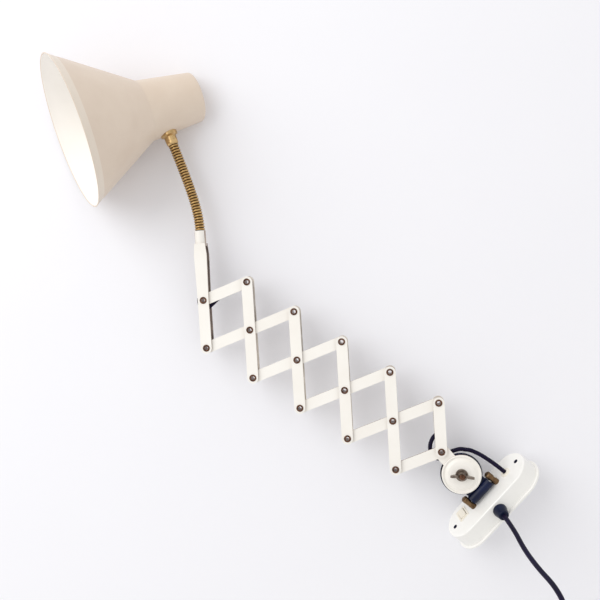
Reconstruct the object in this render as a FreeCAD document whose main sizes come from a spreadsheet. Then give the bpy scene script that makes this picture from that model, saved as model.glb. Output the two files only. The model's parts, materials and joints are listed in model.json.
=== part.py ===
import FreeCAD, Part
import math
import os

import Sketcher
from FreeCAD import Placement, Rotation, Vector

# An accordion wall lamp, in millimetres. +Z is up, the wall is the plane Y = 0 and the lamp
# reaches out towards -Y. The origin is the centre of the base's back, on the wall.

doc = FreeCAD.newDocument("accordion_wall_lamp")
sheet = doc.addObject("Spreadsheet::Sheet", "sizes")


# ---------------------------------------------------------------- sizes and small helpers

class Size:
    """A number that remembers the sheet expression it comes from."""

    def __init__(self, value, text):
        self.value = float(value)
        self.text = text

    def join(self, other, sign, value, swap=False):
        text = other.text if isinstance(other, Size) else repr(float(other))
        pair = (text, self.text) if swap else (self.text, text)
        return Size(value, "(" + pair[0] + " " + sign + " " + pair[1] + ")")

    def __float__(self):
        return self.value

    def __neg__(self):
        return Size(-self.value, "(-1 * " + self.text + ")")

    def __add__(self, other):
        return self.join(other, "+", self.value + float(other))

    def __radd__(self, other):
        return self.join(other, "+", float(other) + self.value, swap=True)

    def __sub__(self, other):
        return self.join(other, "-", self.value - float(other))

    def __rsub__(self, other):
        return self.join(other, "-", float(other) - self.value, swap=True)

    def __mul__(self, other):
        return self.join(other, "*", self.value * float(other))

    def __rmul__(self, other):
        return self.join(other, "*", float(other) * self.value, swap=True)

    def __truediv__(self, other):
        return self.join(other, "/", self.value / float(other))


rows = []


def size(alias, value):
    """Write one driving dimension into the sheet and return it as a Size."""
    cell = "B" + str(len(rows) + 1)
    rows.append(alias)
    sheet.set("A" + str(len(rows)), alias)
    sheet.set(cell, str(value))
    sheet.setAlias(cell, alias)
    return Size(value, "sizes." + alias)


def bind(thing, name, amount):
    """Set a property and tie it to the sheet."""
    if isinstance(amount, Size):
        thing.setExpression(name, amount.text)
    else:
        setattr(thing, name, amount)


# Base
base_width = size("base_width", 45)
base_height = size("base_height", 113)
base_depth = size("base_depth", 21)
lip_width = size("lip_width", 2.5)
lip_thickness = size("lip_thickness", 1.8)
cover_wall = size("cover_wall", 1.8)
cover_edge_radius = size("cover_edge_radius", 1.4)
wall_hole_spacing = size("wall_hole_spacing", 95)
wall_hole_radius = size("wall_hole_radius", 2.3)
screw_boss_wall = size("screw_boss_wall", 2)
post_spacing = size("post_spacing", 35.5)
post_radius = size("post_radius", 3.5)
post_height = size("post_height", 15.5)
post_thread_radius = size("post_thread_radius", 2)
post_nut_radius = size("post_nut_radius", 4)
post_nut_height = size("post_nut_height", 3)
pin_height = size("pin_height", 7)
pin_radius = size("pin_radius", 2)
bush_height = size("bush_height", 31.5)
bush_radius = size("bush_radius", 5.4)
bush_stem_radius = size("bush_stem_radius", 4.3)
bush_lip = size("bush_lip", 1.4)
switch_height = size("switch_height", 33)
switch_side = size("switch_side", 6)
switch_width = size("switch_width", 15)
switch_length = size("switch_length", 11)
switch_body_depth = size("switch_body_depth", 12)
switch_rim = size("switch_rim", 1.2)
rocker_gap = size("rocker_gap", 0.6)
switch_lip = size("switch_lip", 0.8)
rocker_lift = size("rocker_lift", 1.2)
rocker_half_angle = size("rocker_half_angle", 7)
gland_radius = size("gland_radius", 7.4)
gland_tip_radius = size("gland_tip_radius", 5.4)
gland_length = size("gland_length", 12)
gland_stem_radius = size("gland_stem_radius", 5)
gland_stem_length = size("gland_stem_length", 9)
gland_bore_radius = size("gland_bore_radius", 2)
block_width = size("block_width", 18)
block_length = size("block_length", 24)
block_depth = size("block_depth", 10)

# Swivel
disc_reach = size("disc_reach", 26.8)
swivel_rest = size("swivel_rest", 19)
barrel_radius = size("barrel_radius", 5.5)
plate_thickness = size("plate_thickness", 2)
bracket_disc_radius = size("bracket_disc_radius", 22)
bracket_half_width = size("bracket_half_width", 13)
washer_thickness = size("washer_thickness", 1)
washer_radius = size("washer_radius", 20)
bolt_radius = size("bolt_radius", 3)
bolt_head_radius = size("bolt_head_radius", 7)
bolt_head_height = size("bolt_head_height", 3)
bolt_spare = size("bolt_spare", 2.5)
nut_washer_radius = size("nut_washer_radius", 6.5)
nut_washer_thickness = size("nut_washer_thickness", 1)
wing_hub_radius = size("wing_hub_radius", 4.4)
wing_hub_top_radius = size("wing_hub_top_radius", 3.7)
wing_hub_height = size("wing_hub_height", 6.5)
wing_span = size("wing_span", 25)
wing_height = size("wing_height", 10.5)
wing_thickness = size("wing_thickness", 2.2)
wing_angle = size("wing_angle", 38)

# Scissor arm
half_bar = size("half_bar", 52)
bar_width = size("bar_width", 12)
arm_elevation = size("arm_elevation", -8.9)
arm_half_angle = size("arm_half_angle", 54.6)
tongue_elevation = size("tongue_elevation", 7.7)
tongue_length = size("tongue_length", 31.8)
tongue_width = size("tongue_width", 16)
disc_radius = size("disc_radius", 20.8)
disc_bead = size("disc_bead", 1)
dome_radius = size("dome_radius", 16)
dome_height = size("dome_height", 2.2)
layer_gap = size("layer_gap", 0.3)
rear_gap = size("rear_gap", 6.6)
rivet_radius = size("rivet_radius", 2.9)
rivet_bore_radius = size("rivet_bore_radius", 2.1)
rivet_head_radius = size("rivet_head_radius", 3.8)
rivet_head_height = size("rivet_head_height", 0.8)
spacer_radius = size("spacer_radius", 3.7)
running_gap = size("running_gap", 0.05)
cable_radius = size("cable_radius", 2.2)
cable_layer = size("cable_layer", -1.3)

# Fork, gooseneck and head
tube_radius = size("tube_radius", 6)
tube_start = size("tube_start", 59)
tube_end = size("tube_end", 75.8)
fork_shoulder = size("fork_shoulder", 50)
fork_shoulder_width = size("fork_shoulder_width", 14)
neck_bore_radius = size("neck_bore_radius", 3)
rib_pitch = size("rib_pitch", 3)
rib_radius = size("rib_radius", 5.5)
rib_valley_radius = size("rib_valley_radius", 4.75)
neck_joint_gap = size("neck_joint_gap", 2.4)
ball_radius = size("ball_radius", 4)
ball_clearance = size("ball_clearance", 0.3)
ball_bore_radius = size("ball_bore_radius", 2.6)
ferrule_length = size("ferrule_length", 13)
ferrule_radius = size("ferrule_radius", 6.5)
ferrule_flange_radius = size("ferrule_flange_radius", 9.3)
ferrule_flange_height = size("ferrule_flange_height", 3)
ferrule_thread_radius = size("ferrule_thread_radius", 4)
ferrule_thread_length = size("ferrule_thread_length", 9)
head_roll = size("head_roll", 28.4)
shade_wall = size("shade_wall", 1.2)
shade_rim_radius = size("shade_rim_radius", 81.8)
shade_cone_length = size("shade_cone_length", 83)
shade_neck_radius = size("shade_neck_radius", 33.2)
shade_neck_length = size("shade_neck_length", 62.5)
shade_end_radius = size("shade_end_radius", 27.3)
shade_corner = size("shade_corner", 3.5)
ferrule_to_cone = size("ferrule_to_cone", 17.3)
holder_radius = size("holder_radius", 15)
holder_length = size("holder_length", 36)
holder_bore_radius = size("holder_bore_radius", 7.5)
holder_plate = size("holder_plate", 1.5)
holder_plate_width = size("holder_plate_width", 10)
cap_radius = size("cap_radius", 7)
cap_length = size("cap_length", 20)
bulb_radius = size("bulb_radius", 22.5)
bulb_neck_radius = size("bulb_neck_radius", 8)
bulb_neck_length = size("bulb_neck_length", 8)
nut_across = size("nut_across", 12)
nut_height = size("nut_height", 3)

# Mains lead
lead_radius = size("lead_radius", 2.4)
coil_mean_radius = size("coil_mean_radius", 33)
coil_turn_pitch = size("coil_turn_pitch", 5.3)
tie_width = size("tie_width", 8)
tie_thickness = size("tie_thickness", 1)
plug_length = size("plug_length", 34)
plug_width = size("plug_width", 26)
plug_thickness = size("plug_thickness", 14)
plug_pin_radius = size("plug_pin_radius", 2)
plug_pin_length = size("plug_pin_length", 19)
plug_pin_spacing = size("plug_pin_spacing", 19)

doc.recompute()
nodes = []


def body_plane(body, role):
    return next(f for f in body.Origin.OriginFeatures if f.Role == role)


def new_sketch(body, name, role="XY_Plane"):
    sketch = body.newObject("Sketcher::SketchObject", name)
    sketch.AttachmentSupport = (body_plane(body, role), "")
    sketch.MapMode = "FlatFace"
    return sketch


def dimension(sketch, constraint, amount):
    """Add one sized constraint and tie it to the sheet."""
    index = sketch.addConstraint(constraint)
    if isinstance(amount, Size):
        name = "size" + str(index)
        sketch.renameConstraint(index, name)
        sketch.setExpression("Constraints." + name, amount.text)


def pin_point(sketch, geometry, position, x, y):
    """Fix one point of a sketch at x, y."""
    for kind, axis, amount in (("DistanceX", -2, x), ("DistanceY", -1, y)):
        if float(amount) == 0:
            sketch.addConstraint(Sketcher.Constraint("PointOnObject", geometry, position, axis))
        else:
            constraint = Sketcher.Constraint(kind, -1, 1, geometry, position, float(amount))
            dimension(sketch, constraint, amount)


def draw_polygon(sketch, points):
    first = sketch.GeometryCount
    flat = [Vector(float(x), float(y), 0) for x, y in points]
    for index, start in enumerate(flat):
        sketch.addGeometry(Part.LineSegment(start, flat[(index + 1) % len(flat)]))
    for index in range(len(flat)):
        after = first + (index + 1) % len(flat)
        sketch.addConstraint(Sketcher.Constraint("Coincident", first + index, 2, after, 1))
    for index, (x, y) in enumerate(points):
        pin_point(sketch, first + index, 1, x, y)


def draw_circle(sketch, x, y, radius):
    circle = Part.Circle(Vector(float(x), float(y), 0), Vector(0, 0, 1), float(radius))
    index = sketch.addGeometry(circle)
    pin_point(sketch, index, 3, x, y)
    dimension(sketch, Sketcher.Constraint("Radius", index, float(radius)), radius)


def draw_slot(sketch, low, high, radius):
    """A strip along Y with round ends centred at low and high."""
    r = float(radius)
    up = Vector(0, 0, 1)
    top_circle = Part.Circle(Vector(0, float(high), 0), up, r)
    low_circle = Part.Circle(Vector(0, float(low), 0), up, r)
    top = sketch.addGeometry(Part.ArcOfCircle(top_circle, 0, math.pi))
    bottom = sketch.addGeometry(Part.ArcOfCircle(low_circle, math.pi, 2 * math.pi))
    right = sketch.addGeometry(
        Part.LineSegment(Vector(r, float(low), 0), Vector(r, float(high), 0)))
    left = sketch.addGeometry(
        Part.LineSegment(Vector(-r, float(high), 0), Vector(-r, float(low), 0)))
    for pair in ((right, 2, top, 1), (top, 2, left, 1), (left, 2, bottom, 1), (bottom, 2, right, 1)):
        sketch.addConstraint(Sketcher.Constraint("Tangent", *pair))
    pin_point(sketch, top, 3, 0, high)
    pin_point(sketch, bottom, 3, 0, low)
    sketch.addConstraint(Sketcher.Constraint("Equal", top, bottom))
    dimension(sketch, Sketcher.Constraint("Radius", top, r), radius)


def pad(body, sketch, length, start=0):
    """Extrude a sketch along +Z from the height start."""
    if float(start) != 0:
        bind(sketch, "AttachmentOffset.Base.z", start)
    feature = body.newObject("PartDesign::Pad", "Pad")
    feature.Profile = sketch
    bind(feature, "Length", length)
    return feature


def new_body(name):
    body = doc.addObject("PartDesign::Body", name)
    body.Label = name
    return body


def slot_plate(name, low, high, radius, thickness, holes, start=0):
    """A flat bar with round ends and round holes, from z = start."""
    body = new_body(name)
    sketch = new_sketch(body, name + "_outline")
    draw_slot(sketch, low, high, radius)
    for x, y, hole_radius in holes:
        draw_circle(sketch, x, y, hole_radius)
    pad(body, sketch, thickness, start)
    return body


def polygon_plate(name, points, thickness, holes=(), start=0):
    body = new_body(name)
    sketch = new_sketch(body, name + "_outline")
    draw_polygon(sketch, points)
    for x, y, hole_radius in holes:
        draw_circle(sketch, x, y, hole_radius)
    pad(body, sketch, thickness, start)
    return body


def turned(name, points):
    """Spin a profile of (radius, height) points about its own Z axis."""
    body = new_body(name)
    sketch = new_sketch(body, name + "_profile", "XZ_Plane")
    draw_polygon(sketch, points)
    feature = body.newObject("PartDesign::Revolution", "Revolution")
    feature.Profile = sketch
    feature.ReferenceAxis = (sketch, ["V_Axis"])
    feature.Angle = 360
    return body


def ring(name, outer, inner, low, high):
    return turned(name, [(inner, low), (outer, low), (outer, high), (inner, high)])


def cylinder(name, radius, height, place=None):
    thing = doc.addObject("Part::Cylinder", name)
    bind(thing, "Radius", radius)
    bind(thing, "Height", height)
    thing.Placement = place or Placement()
    return thing


def box(name, x, y, z, place=None):
    """A block centred in X and Y that stands on its own XY plane."""
    thing = doc.addObject("Part::Box", name)
    bind(thing, "Length", x)
    bind(thing, "Width", y)
    bind(thing, "Height", z)
    centred = Placement(Vector(-float(x) / 2, -float(y) / 2, 0), Rotation())
    thing.Placement = (place or Placement()).multiply(centred)
    return thing


def cut(name, base, tool):
    thing = doc.addObject("Part::Cut", name)
    thing.Base = base
    thing.Tool = tool
    return thing


def fuse(name, pieces):
    thing = doc.addObject("Part::MultiFuse", name)
    thing.Shapes = pieces
    return thing


def compound(name, pieces):
    thing = doc.addObject("Part::Compound", name)
    thing.Links = pieces
    return thing


def shaped(name, shape):
    thing = doc.addObject("Part::Feature", name)
    thing.Shape = shape
    return thing


def finish(thing, label, place=None):
    """Name a finished sub-part, put it in its place and list it as a node."""
    thing.Label = label
    if place is not None:
        thing.Placement = place
    nodes.append(thing)
    return thing


def shift(x=0, y=0, z=0):
    return Placement(Vector(float(x), float(y), float(z)), Rotation())


def turn(axis, degrees, at=Vector(0, 0, 0)):
    return Placement(at, Rotation(axis, degrees))


X_AXIS = Vector(1, 0, 0)
Y_AXIS = Vector(0, 1, 0)
Z_AXIS = Vector(0, 0, 1)


# ---------------------------------------------------------------- frames

# The base frame has its own x along the wall, y up and z out of the wall.
base_frame = turn(X_AXIS, 90)

# The arm frame has x back towards the wall, y up, z along the clamp bolt, origin at the disc.
rest_angle = math.radians(swivel_rest.value)
swivel_axis_y = -(base_depth.value + pin_height.value)
outward = Vector(-math.sin(rest_angle), -math.cos(rest_angle), 0)
bolt_axis = Vector(math.cos(rest_angle), -math.sin(rest_angle), 0)
disc_centre = Vector(0, swivel_axis_y, 0) + outward * disc_reach.value
arm_frame = Placement(disc_centre, Rotation(outward * -1, Z_AXIS, bolt_axis, "ZXY"))


def arm_direction(elevation):
    """A unit vector in the arm plane at this angle above straight out."""
    angle = math.radians(180 - elevation)
    return Vector(math.cos(angle), math.sin(angle), 0)


arm_line = arm_direction(arm_elevation.value)
outer_line = arm_direction(arm_elevation.value + arm_half_angle.value)
inner_line = arm_direction(arm_elevation.value - arm_half_angle.value)
BAYS = 5
first_pivot = arm_direction(tongue_elevation.value) * tongue_length.value
bay_length = 2 * half_bar.value * math.cos(math.radians(arm_half_angle.value))


def middle_pivot(number):
    """Pivot where outer bar number crosses inner bar number; 5 is next to the disc."""
    return first_pivot + arm_line * (bay_length * (BAYS - number))


def top_pivot(number):
    return middle_pivot(number) + outer_line * half_bar.value


def low_pivot(number):
    return middle_pivot(number) - outer_line * half_bar.value


def along(line, at, layer=0):
    """The place of a bar drawn along its own +Y, laid along a line through a point."""
    angle = math.degrees(math.atan2(line.y, line.x)) - 90
    return arm_frame.multiply(Placement(Vector(at.x, at.y, float(layer)), Rotation(Z_AXIS, angle)))


# Layers along the clamp bolt, counted from the middle of the swivel bracket.
washer_low = plate_thickness / 2
inner_low = washer_low + washer_thickness
inner_high = inner_low + plate_thickness
front_low = inner_high + layer_gap
front_high = front_low + plate_thickness
rear_high = inner_low - rear_gap
rear_low = rear_high - plate_thickness


# ---------------------------------------------------------------- wall base

slot_half = (base_height - base_width) / 2
hole_half = wall_hole_spacing / 2
post_half = post_spacing / 2
cover_radius = base_width / 2


def make_back_plate():
    holes = [(0, hole_half, wall_hole_radius), (0, -hole_half, wall_hole_radius)]
    plate = slot_plate("back_plate", -slot_half, slot_half, cover_radius + lip_width,
                       lip_thickness, holes)
    finish(plate, "back_plate", base_frame)


def make_base_cover():
    body = new_body("cover_shell")
    outline = new_sketch(body, "cover_outline")
    draw_slot(outline, -slot_half, slot_half, cover_radius)
    pad(body, outline, base_depth - lip_thickness, lip_thickness)
    doc.recompute()
    front_z = base_depth.value
    edges = []
    for index, edge in enumerate(body.Shape.Edges):
        if all(abs(v.Point.z - front_z) < 1e-6 for v in edge.Vertexes):
            edges.append("Edge" + str(index + 1))
    block = body.Tip
    fillet = body.newObject("PartDesign::Fillet", "front_edge")
    fillet.Base = (block, edges)
    bind(fillet, "Radius", cover_edge_radius)
    inner = new_sketch(body, "cover_hollow")
    draw_slot(inner, -slot_half, slot_half, cover_radius - cover_wall)
    hollow = body.newObject("PartDesign::Pocket", "hollow")
    hollow.Profile = inner
    hollow.Reversed = True
    bind(hollow, "Length", base_depth - cover_wall)
    doc.recompute()

    bosses = []
    bores = []
    boss_radius = wall_hole_radius + screw_boss_wall
    for sign, side in ((1, "top"), (-1, "bottom")):
        boss_place = shift(0, sign * hole_half.value, lip_thickness.value)
        bosses.append(cylinder(side + "_boss", boss_radius,
                               base_depth - lip_thickness - cover_wall / 2, boss_place))
        bores.append(cylinder(side + "_bore", wall_hole_radius, base_depth * 2,
                              shift(0, sign * hole_half.value, -1)))
        bores.append(cylinder(side + "_post_hole", post_thread_radius + running_gap,
                              base_depth * 2, shift(0, sign * post_half.value, 0)))
    bores.append(cylinder("bush_hole", bush_stem_radius + running_gap, base_depth * 2,
                          shift(0, bush_height.value, 0)))
    bores.append(box("switch_hole", switch_width - switch_rim, switch_length - switch_rim,
                     base_depth * 2, shift(-switch_side.value, -switch_height.value)))
    gland_place = Placement(Vector(0, 0, base_depth.value / 2), Rotation(Y_AXIS, 90))
    bores.append(cylinder("gland_hole", gland_stem_radius + running_gap, base_width, gland_place))
    shell = fuse("cover_with_bosses", [body] + bosses)
    cover = cut("base_cover", shell, fuse("cover_bores", bores))
    finish(cover, "base_cover", base_frame)


def make_hinge_posts():
    posts = []
    nuts = []
    tip_chamfer = 0.8
    stem = cover_wall + post_nut_height
    for sign, side in ((1, "upper"), (-1, "lower")):
        place = shift(0, sign * post_half.value, base_depth.value)
        blank = turned(side + "_post_blank", [
            (0, -stem), (post_thread_radius, -stem), (post_thread_radius, 0), (post_radius, 0),
            (post_radius, post_height - tip_chamfer), (post_radius - tip_chamfer, post_height),
            (0, post_height)])
        across = Placement(Vector(0, -20, pin_height.value), Rotation(X_AXIS, -90))
        hole = cylinder(side + "_post_pin_hole", pin_radius + running_gap / 2, 40, across)
        post = cut(side + "_post", blank, hole)
        post.Placement = place
        posts.append(post)
        nut = doc.addObject("Part::Prism", side + "_nut_blank")
        nut.Polygon = 6
        bind(nut, "Circumradius", post_nut_radius)
        bind(nut, "Height", post_nut_height)
        thread = cylinder(side + "_nut_bore", post_thread_radius + running_gap / 2, 20, shift(0, 0, -5))
        nut = cut(side + "_nut", nut, thread)
        nut.Placement = shift(0, sign * post_half.value, base_depth.value - stem.value)
        nuts.append(nut)
    finish(compound("hinge_posts", posts), "hinge_posts", base_frame)
    finish(compound("post_nuts", nuts), "post_nuts", base_frame)
    half_length = post_half + post_radius
    hinge_pin = cylinder("hinge_pin", pin_radius, half_length * 2)
    start = Vector(0, -half_length.value, base_depth.value + pin_height.value)
    finish(hinge_pin, "hinge_pin", base_frame.multiply(Placement(start, Rotation(X_AXIS, -90))))


def make_base_fittings():
    bush_bore = cable_radius + ball_clearance
    bush = turned("cable_bush", [
        (bush_bore, -cover_wall), (bush_stem_radius, -cover_wall), (bush_stem_radius, 0),
        (bush_radius, 0), (bush_radius, bush_lip / 2), (bush_radius - bush_lip / 2, bush_lip),
        (bush_bore, bush_lip)])
    finish(bush, "cable_bush", base_frame.multiply(shift(0, bush_height.value, base_depth.value)))

    gland = turned("cord_gland", [
        (gland_bore_radius, -gland_stem_length), (gland_stem_radius, -gland_stem_length),
        (gland_stem_radius, 0), (gland_radius, 0), (gland_radius, 1.5),
        (gland_tip_radius, gland_length - 1), (gland_tip_radius - 0.6, gland_length),
        (gland_bore_radius, gland_length)])
    side = Placement(Vector(cover_radius.value, 0, base_depth.value / 2), Rotation(Y_AXIS, 90))
    finish(gland, "cord_gland", base_frame.multiply(side))

    switch_place = shift(-switch_side.value, -switch_height.value, base_depth.value)
    outer = box("switch_outer", switch_width - switch_rim - running_gap * 2,
                switch_length - switch_rim - running_gap * 2, switch_body_depth,
                shift(0, 0, -switch_body_depth.value))
    lip = box("switch_frame", switch_width + switch_rim, switch_length + switch_rim, switch_lip)
    well_depth = 6
    well = box("switch_well", switch_width - switch_rim * 2, switch_length - switch_rim * 2,
               well_depth + 5, shift(0, 0, -well_depth))
    housing = cut("switch_housing", fuse("switch_solid", [outer, lip]), well)
    finish(housing, "switch_housing", base_frame.multiply(switch_place))

    half = switch_width.value / 2 - switch_rim.value - rocker_gap.value
    tilt = math.radians(rocker_half_angle.value)
    crown = switch_lip + rocker_lift
    pivot_radius = 1.6
    dip = half * math.sin(tilt) / 2
    profile = [(-half, -0.8), (-pivot_radius, -2.2), (-pivot_radius, -5), (pivot_radius, -5),
               (pivot_radius, -2.2), (half, -0.8), (half, crown + dip), (0, crown - dip),
               (-half, crown + dip)]
    rocker_depth = switch_length - switch_rim * 2 - rocker_gap * 2
    rocker = polygon_plate("switch_rocker", profile, rocker_depth)
    stand = Placement(Vector(0, rocker_depth.value / 2, 0), Rotation(X_AXIS, 90))
    lean = Placement(Vector(0, 0, -3), Rotation(Y_AXIS, rocker_half_angle.value))
    back = shift(0, 0, 3)
    finish(rocker, "switch_rocker",
           base_frame.multiply(switch_place).multiply(lean).multiply(back).multiply(stand))

    block = box("terminal_block", block_width, block_length, block_depth)
    finish(block, "terminal_block",
           base_frame.multiply(shift(-float(block_width) / 2, -float(block_length) / 2,
                                     lip_thickness.value)))


# ---------------------------------------------------------------- swivel and clamp

def make_swivel():
    bolt_hole = bolt_radius + running_gap
    disc = cylinder("bracket_disc", bracket_disc_radius, plate_thickness,
                    shift(0, 0, -plate_thickness.value / 2))
    web = doc.addObject("Part::Box", "bracket_web")
    bind(web, "Length", disc_reach)
    bind(web, "Width", bracket_half_width * 2)
    bind(web, "Height", plate_thickness)
    web.Placement = shift(0, -bracket_half_width.value, -plate_thickness.value / 2)
    barrel_half = post_half - post_radius - running_gap * 5
    barrel_place = Placement(Vector(disc_reach.value, -barrel_half.value, 0), Rotation(X_AXIS, -90))
    barrel = cylinder("bracket_barrel", barrel_radius, barrel_half * 2, barrel_place)
    bore_place = Placement(Vector(disc_reach.value, -40, 0), Rotation(X_AXIS, -90))
    bore = cylinder("barrel_bore", pin_radius + running_gap, 80, bore_place)
    hole = cylinder("bracket_bolt_hole", bolt_hole, 20, shift(0, 0, -10))
    solid = fuse("bracket_solid", [disc, web, barrel])
    bracket = cut("swivel_bracket", solid, fuse("bracket_holes", [bore, hole]))
    finish(bracket, "swivel_bracket", arm_frame)

    washer = ring("friction_washer", washer_radius, bolt_hole, washer_low, inner_low)
    finish(washer, "friction_washer", arm_frame)

    dome_top = inner_high + dome_height
    nut_low = dome_top + nut_washer_thickness
    bolt_low = -plate_thickness / 2
    bolt_top = nut_low + wing_hub_height + bolt_spare
    head_edge = bolt_head_height / 3
    bolt = turned("clamp_bolt", [
        (0, bolt_low - bolt_head_height), (bolt_head_radius * 0.6, bolt_low - bolt_head_height * 0.9),
        (bolt_head_radius, bolt_low - head_edge), (bolt_head_radius, bolt_low),
        (bolt_radius, bolt_low), (bolt_radius, bolt_top - 0.6), (bolt_radius - 0.6, bolt_top),
        (0, bolt_top)])
    finish(bolt, "clamp_bolt", arm_frame)
    nut_washer = ring("nut_washer", nut_washer_radius, bolt_hole, dome_top, nut_low)
    finish(nut_washer, "nut_washer", arm_frame)
    make_wing_nut(nut_low, bolt_hole)


def make_wing_nut(low, hole_radius):
    hub = turned("wing_hub", [
        (0, low), (wing_hub_radius, low), (wing_hub_top_radius, low + wing_hub_height),
        (0, low + wing_hub_height)])
    half = wing_span / 2
    wings = []
    for sign, side in ((1, "right"), (-1, "left")):
        outline = [(sign * x, y) for x, y in (
            (1.0, 1.0), (5.5, 1.4), (half - 1.2, wing_height - 4.2), (half, wing_height - 1.6),
            (half - 1.4, wing_height), (half - 4.4, wing_height - 0.8), (1.0, wing_hub_height - 0.3))]
        if sign < 0:
            outline.reverse()
        wing = polygon_plate(side + "_wing", outline, wing_thickness)
        wing.Placement = Placement(Vector(0, wing_thickness.value / 2, low.value),
                                   Rotation(X_AXIS, 90))
        wings.append(wing)
    bore = cylinder("wing_bore", hole_radius, 60)
    nut = cut("wing_nut", fuse("wing_solid", [hub] + wings), bore)
    finish(nut, "wing_nut", arm_frame.multiply(turn(Z_AXIS, wing_angle.value)))


def make_disc_arm():
    """The disc, its tongue and the first inner half bar are one plate."""
    bolt_hole = bolt_radius + running_gap * 2
    bead_top = inner_high + disc_bead
    disc = turned("disc_blank", [
        (bolt_hole, inner_low), (disc_radius, inner_low), (disc_radius, bead_top - disc_bead / 2),
        (disc_radius - disc_bead * 0.6, bead_top), (disc_radius - disc_bead * 1.6, bead_top),
        (disc_radius - disc_bead * 2.4, inner_high), (dome_radius + 1.2, inner_high),
        (dome_radius, inner_high + dome_height * 0.35), (dome_radius - 1.8, inner_high + dome_height * 0.8),
        (dome_radius - 5, inner_high + dome_height), (bolt_hole, inner_high + dome_height)])
    tongue = slot_plate("tongue_blank", 0, tongue_length, tongue_width / 2, plate_thickness,
                        [(0, tongue_length, rivet_radius + running_gap)])
    tongue.Placement = turn(Z_AXIS, 90 - tongue_elevation.value, Vector(0, 0, inner_low.value))
    bar = slot_plate("first_bar_blank", 0, half_bar, bar_width / 2, plate_thickness,
                     [(0, half_bar, rivet_radius + running_gap)])
    bar_angle = 90 - (arm_elevation.value - arm_half_angle.value)
    bar.Placement = turn(Z_AXIS, bar_angle, first_pivot + Vector(0, 0, inner_low.value))
    solid = fuse("disc_arm_solid", [disc, tongue, bar])
    bolt_bore = cylinder("disc_bore", bolt_hole, 30)
    rivet_bore = cylinder("disc_rivet_bore", rivet_radius + running_gap, 30,
                          shift(first_pivot.x, first_pivot.y, 0))
    arm = cut("disc_arm", solid, fuse("disc_arm_bores", [bolt_bore, rivet_bore]))
    finish(arm, "disc_arm", arm_frame)


# ---------------------------------------------------------------- scissor arm

def bar_holes(low, high):
    radius = rivet_radius + running_gap
    holes = [(0, low, radius), (0, high, radius)]
    if float(low) != 0:
        holes.append((0, 0, radius))
    return holes


def make_bars():
    for number in range(BAYS, 0, -1):
        low = 0 if number == BAYS else -half_bar
        at = middle_pivot(number)
        pair = []
        for side, layer in (("front", front_low), ("rear", rear_low)):
            bar = slot_plate(side + "_bar_" + str(number), low, half_bar, bar_width / 2,
                             plate_thickness, bar_holes(low, half_bar))
            bar.Placement = shift(0, 0, layer.value)
            pair.append(bar)
        name = "outer_bars_" + str(number)
        finish(compound(name, pair), name, along(outer_line, at))
    for number in range(BAYS - 1, -1, -1):
        low = 0 if number == 0 else -half_bar
        name = "inner_bar_" + str(number)
        bar = slot_plate(name, low, half_bar, bar_width / 2, plate_thickness,
                         bar_holes(low, half_bar))
        finish(bar, name, along(inner_line * -1, middle_pivot(number), inner_low))


def make_end_fork():
    """A tube whose split end carries a front and a rear leaf."""
    half = bar_width / 2
    shoulder = fork_shoulder_width / 2
    leaves = []
    for side, layer in (("front", front_low), ("rear", rear_low)):
        lower = slot_plate(side + "_leaf_low", -half_bar, 0, half, plate_thickness,
                           [(0, -half_bar, rivet_radius + running_gap)], layer)
        upper = polygon_plate(side + "_leaf_high", [
            (half, 0), (shoulder, fork_shoulder), (half, tube_start + 1), (-half, tube_start + 1),
            (-shoulder, fork_shoulder), (-half, 0)], plate_thickness, (), layer)
        leaves += [lower, upper]
    start = shift(0, tube_start.value, (front_high.value + rear_low.value) / 2)
    tube_place = start.multiply(turn(X_AXIS, -90))
    tube = cylinder("fork_tube", tube_radius, tube_end - tube_start, tube_place)
    cheek_height = front_high - rear_low
    cheek = box("fork_cheek", bar_width, 3, cheek_height,
                shift(0, tube_start.value + 1.5, rear_low.value))
    bore = cylinder("fork_bore", neck_bore_radius + 0.2, 60, start.multiply(
        Placement(Vector(0, -20, 0), Rotation(X_AXIS, -90))))
    rivet_hole = cylinder("fork_rivet_hole", rivet_radius + running_gap, 40, shift(0, 0, -20))
    solid = fuse("fork_solid", leaves + [tube, cheek])
    fork = cut("end_fork", solid, fuse("fork_bores", [bore, rivet_hole]))
    finish(fork, "end_fork", along(outer_line, middle_pivot(0)))


def make_rivets():
    """Hollow rivets, each with a spacer sleeve between the inner and the rear bars."""
    edge = rivet_head_height / 2
    rivet = turned("rivet_pattern", [
        (rivet_bore_radius, rear_low - rivet_head_height),
        (rivet_head_radius - edge, rear_low - rivet_head_height),
        (rivet_head_radius, rear_low - edge), (rivet_head_radius, rear_low),
        (rivet_radius, rear_low), (rivet_radius, front_high), (rivet_head_radius, front_high),
        (rivet_head_radius, front_high + edge),
        (rivet_head_radius - edge, front_high + rivet_head_height),
        (rivet_bore_radius, front_high + rivet_head_height)])
    spacer = ring("spacer_pattern", spacer_radius, rivet_radius + running_gap,
                  rear_high, inner_low - running_gap * 2)
    doc.recompute()
    for number in range(BAYS, -1, -1):
        places = [middle_pivot(number)]
        if number > 0:
            places.append(top_pivot(number))
        if number < BAYS:
            places.append(low_pivot(number))
        solids = []
        for place in places:
            for pattern in (rivet, spacer):
                solids.append(pattern.Shape.translated(place))
        name = "rivets_" + str(number)
        finish(shaped(name, Part.makeCompound(solids)), name, arm_frame)


# ---------------------------------------------------------------- tubes along a route

def arc_through(start, tangent, end):
    """The arc from start, with this tangent, to end."""
    chord = end - start
    across = chord - tangent * chord.dot(tangent)
    if across.Length < 1e-9:
        return Part.LineSegment(start, end).toShape()
    radius = chord.dot(chord) / (2 * across.Length)
    centre = start + across * (radius / across.Length)
    middle = (start + end) * 0.5 - centre
    if chord.dot(tangent) < 0:
        middle = middle * -1
    middle.normalize()
    return Part.Arc(start, centre + middle * radius, end).toShape()


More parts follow.
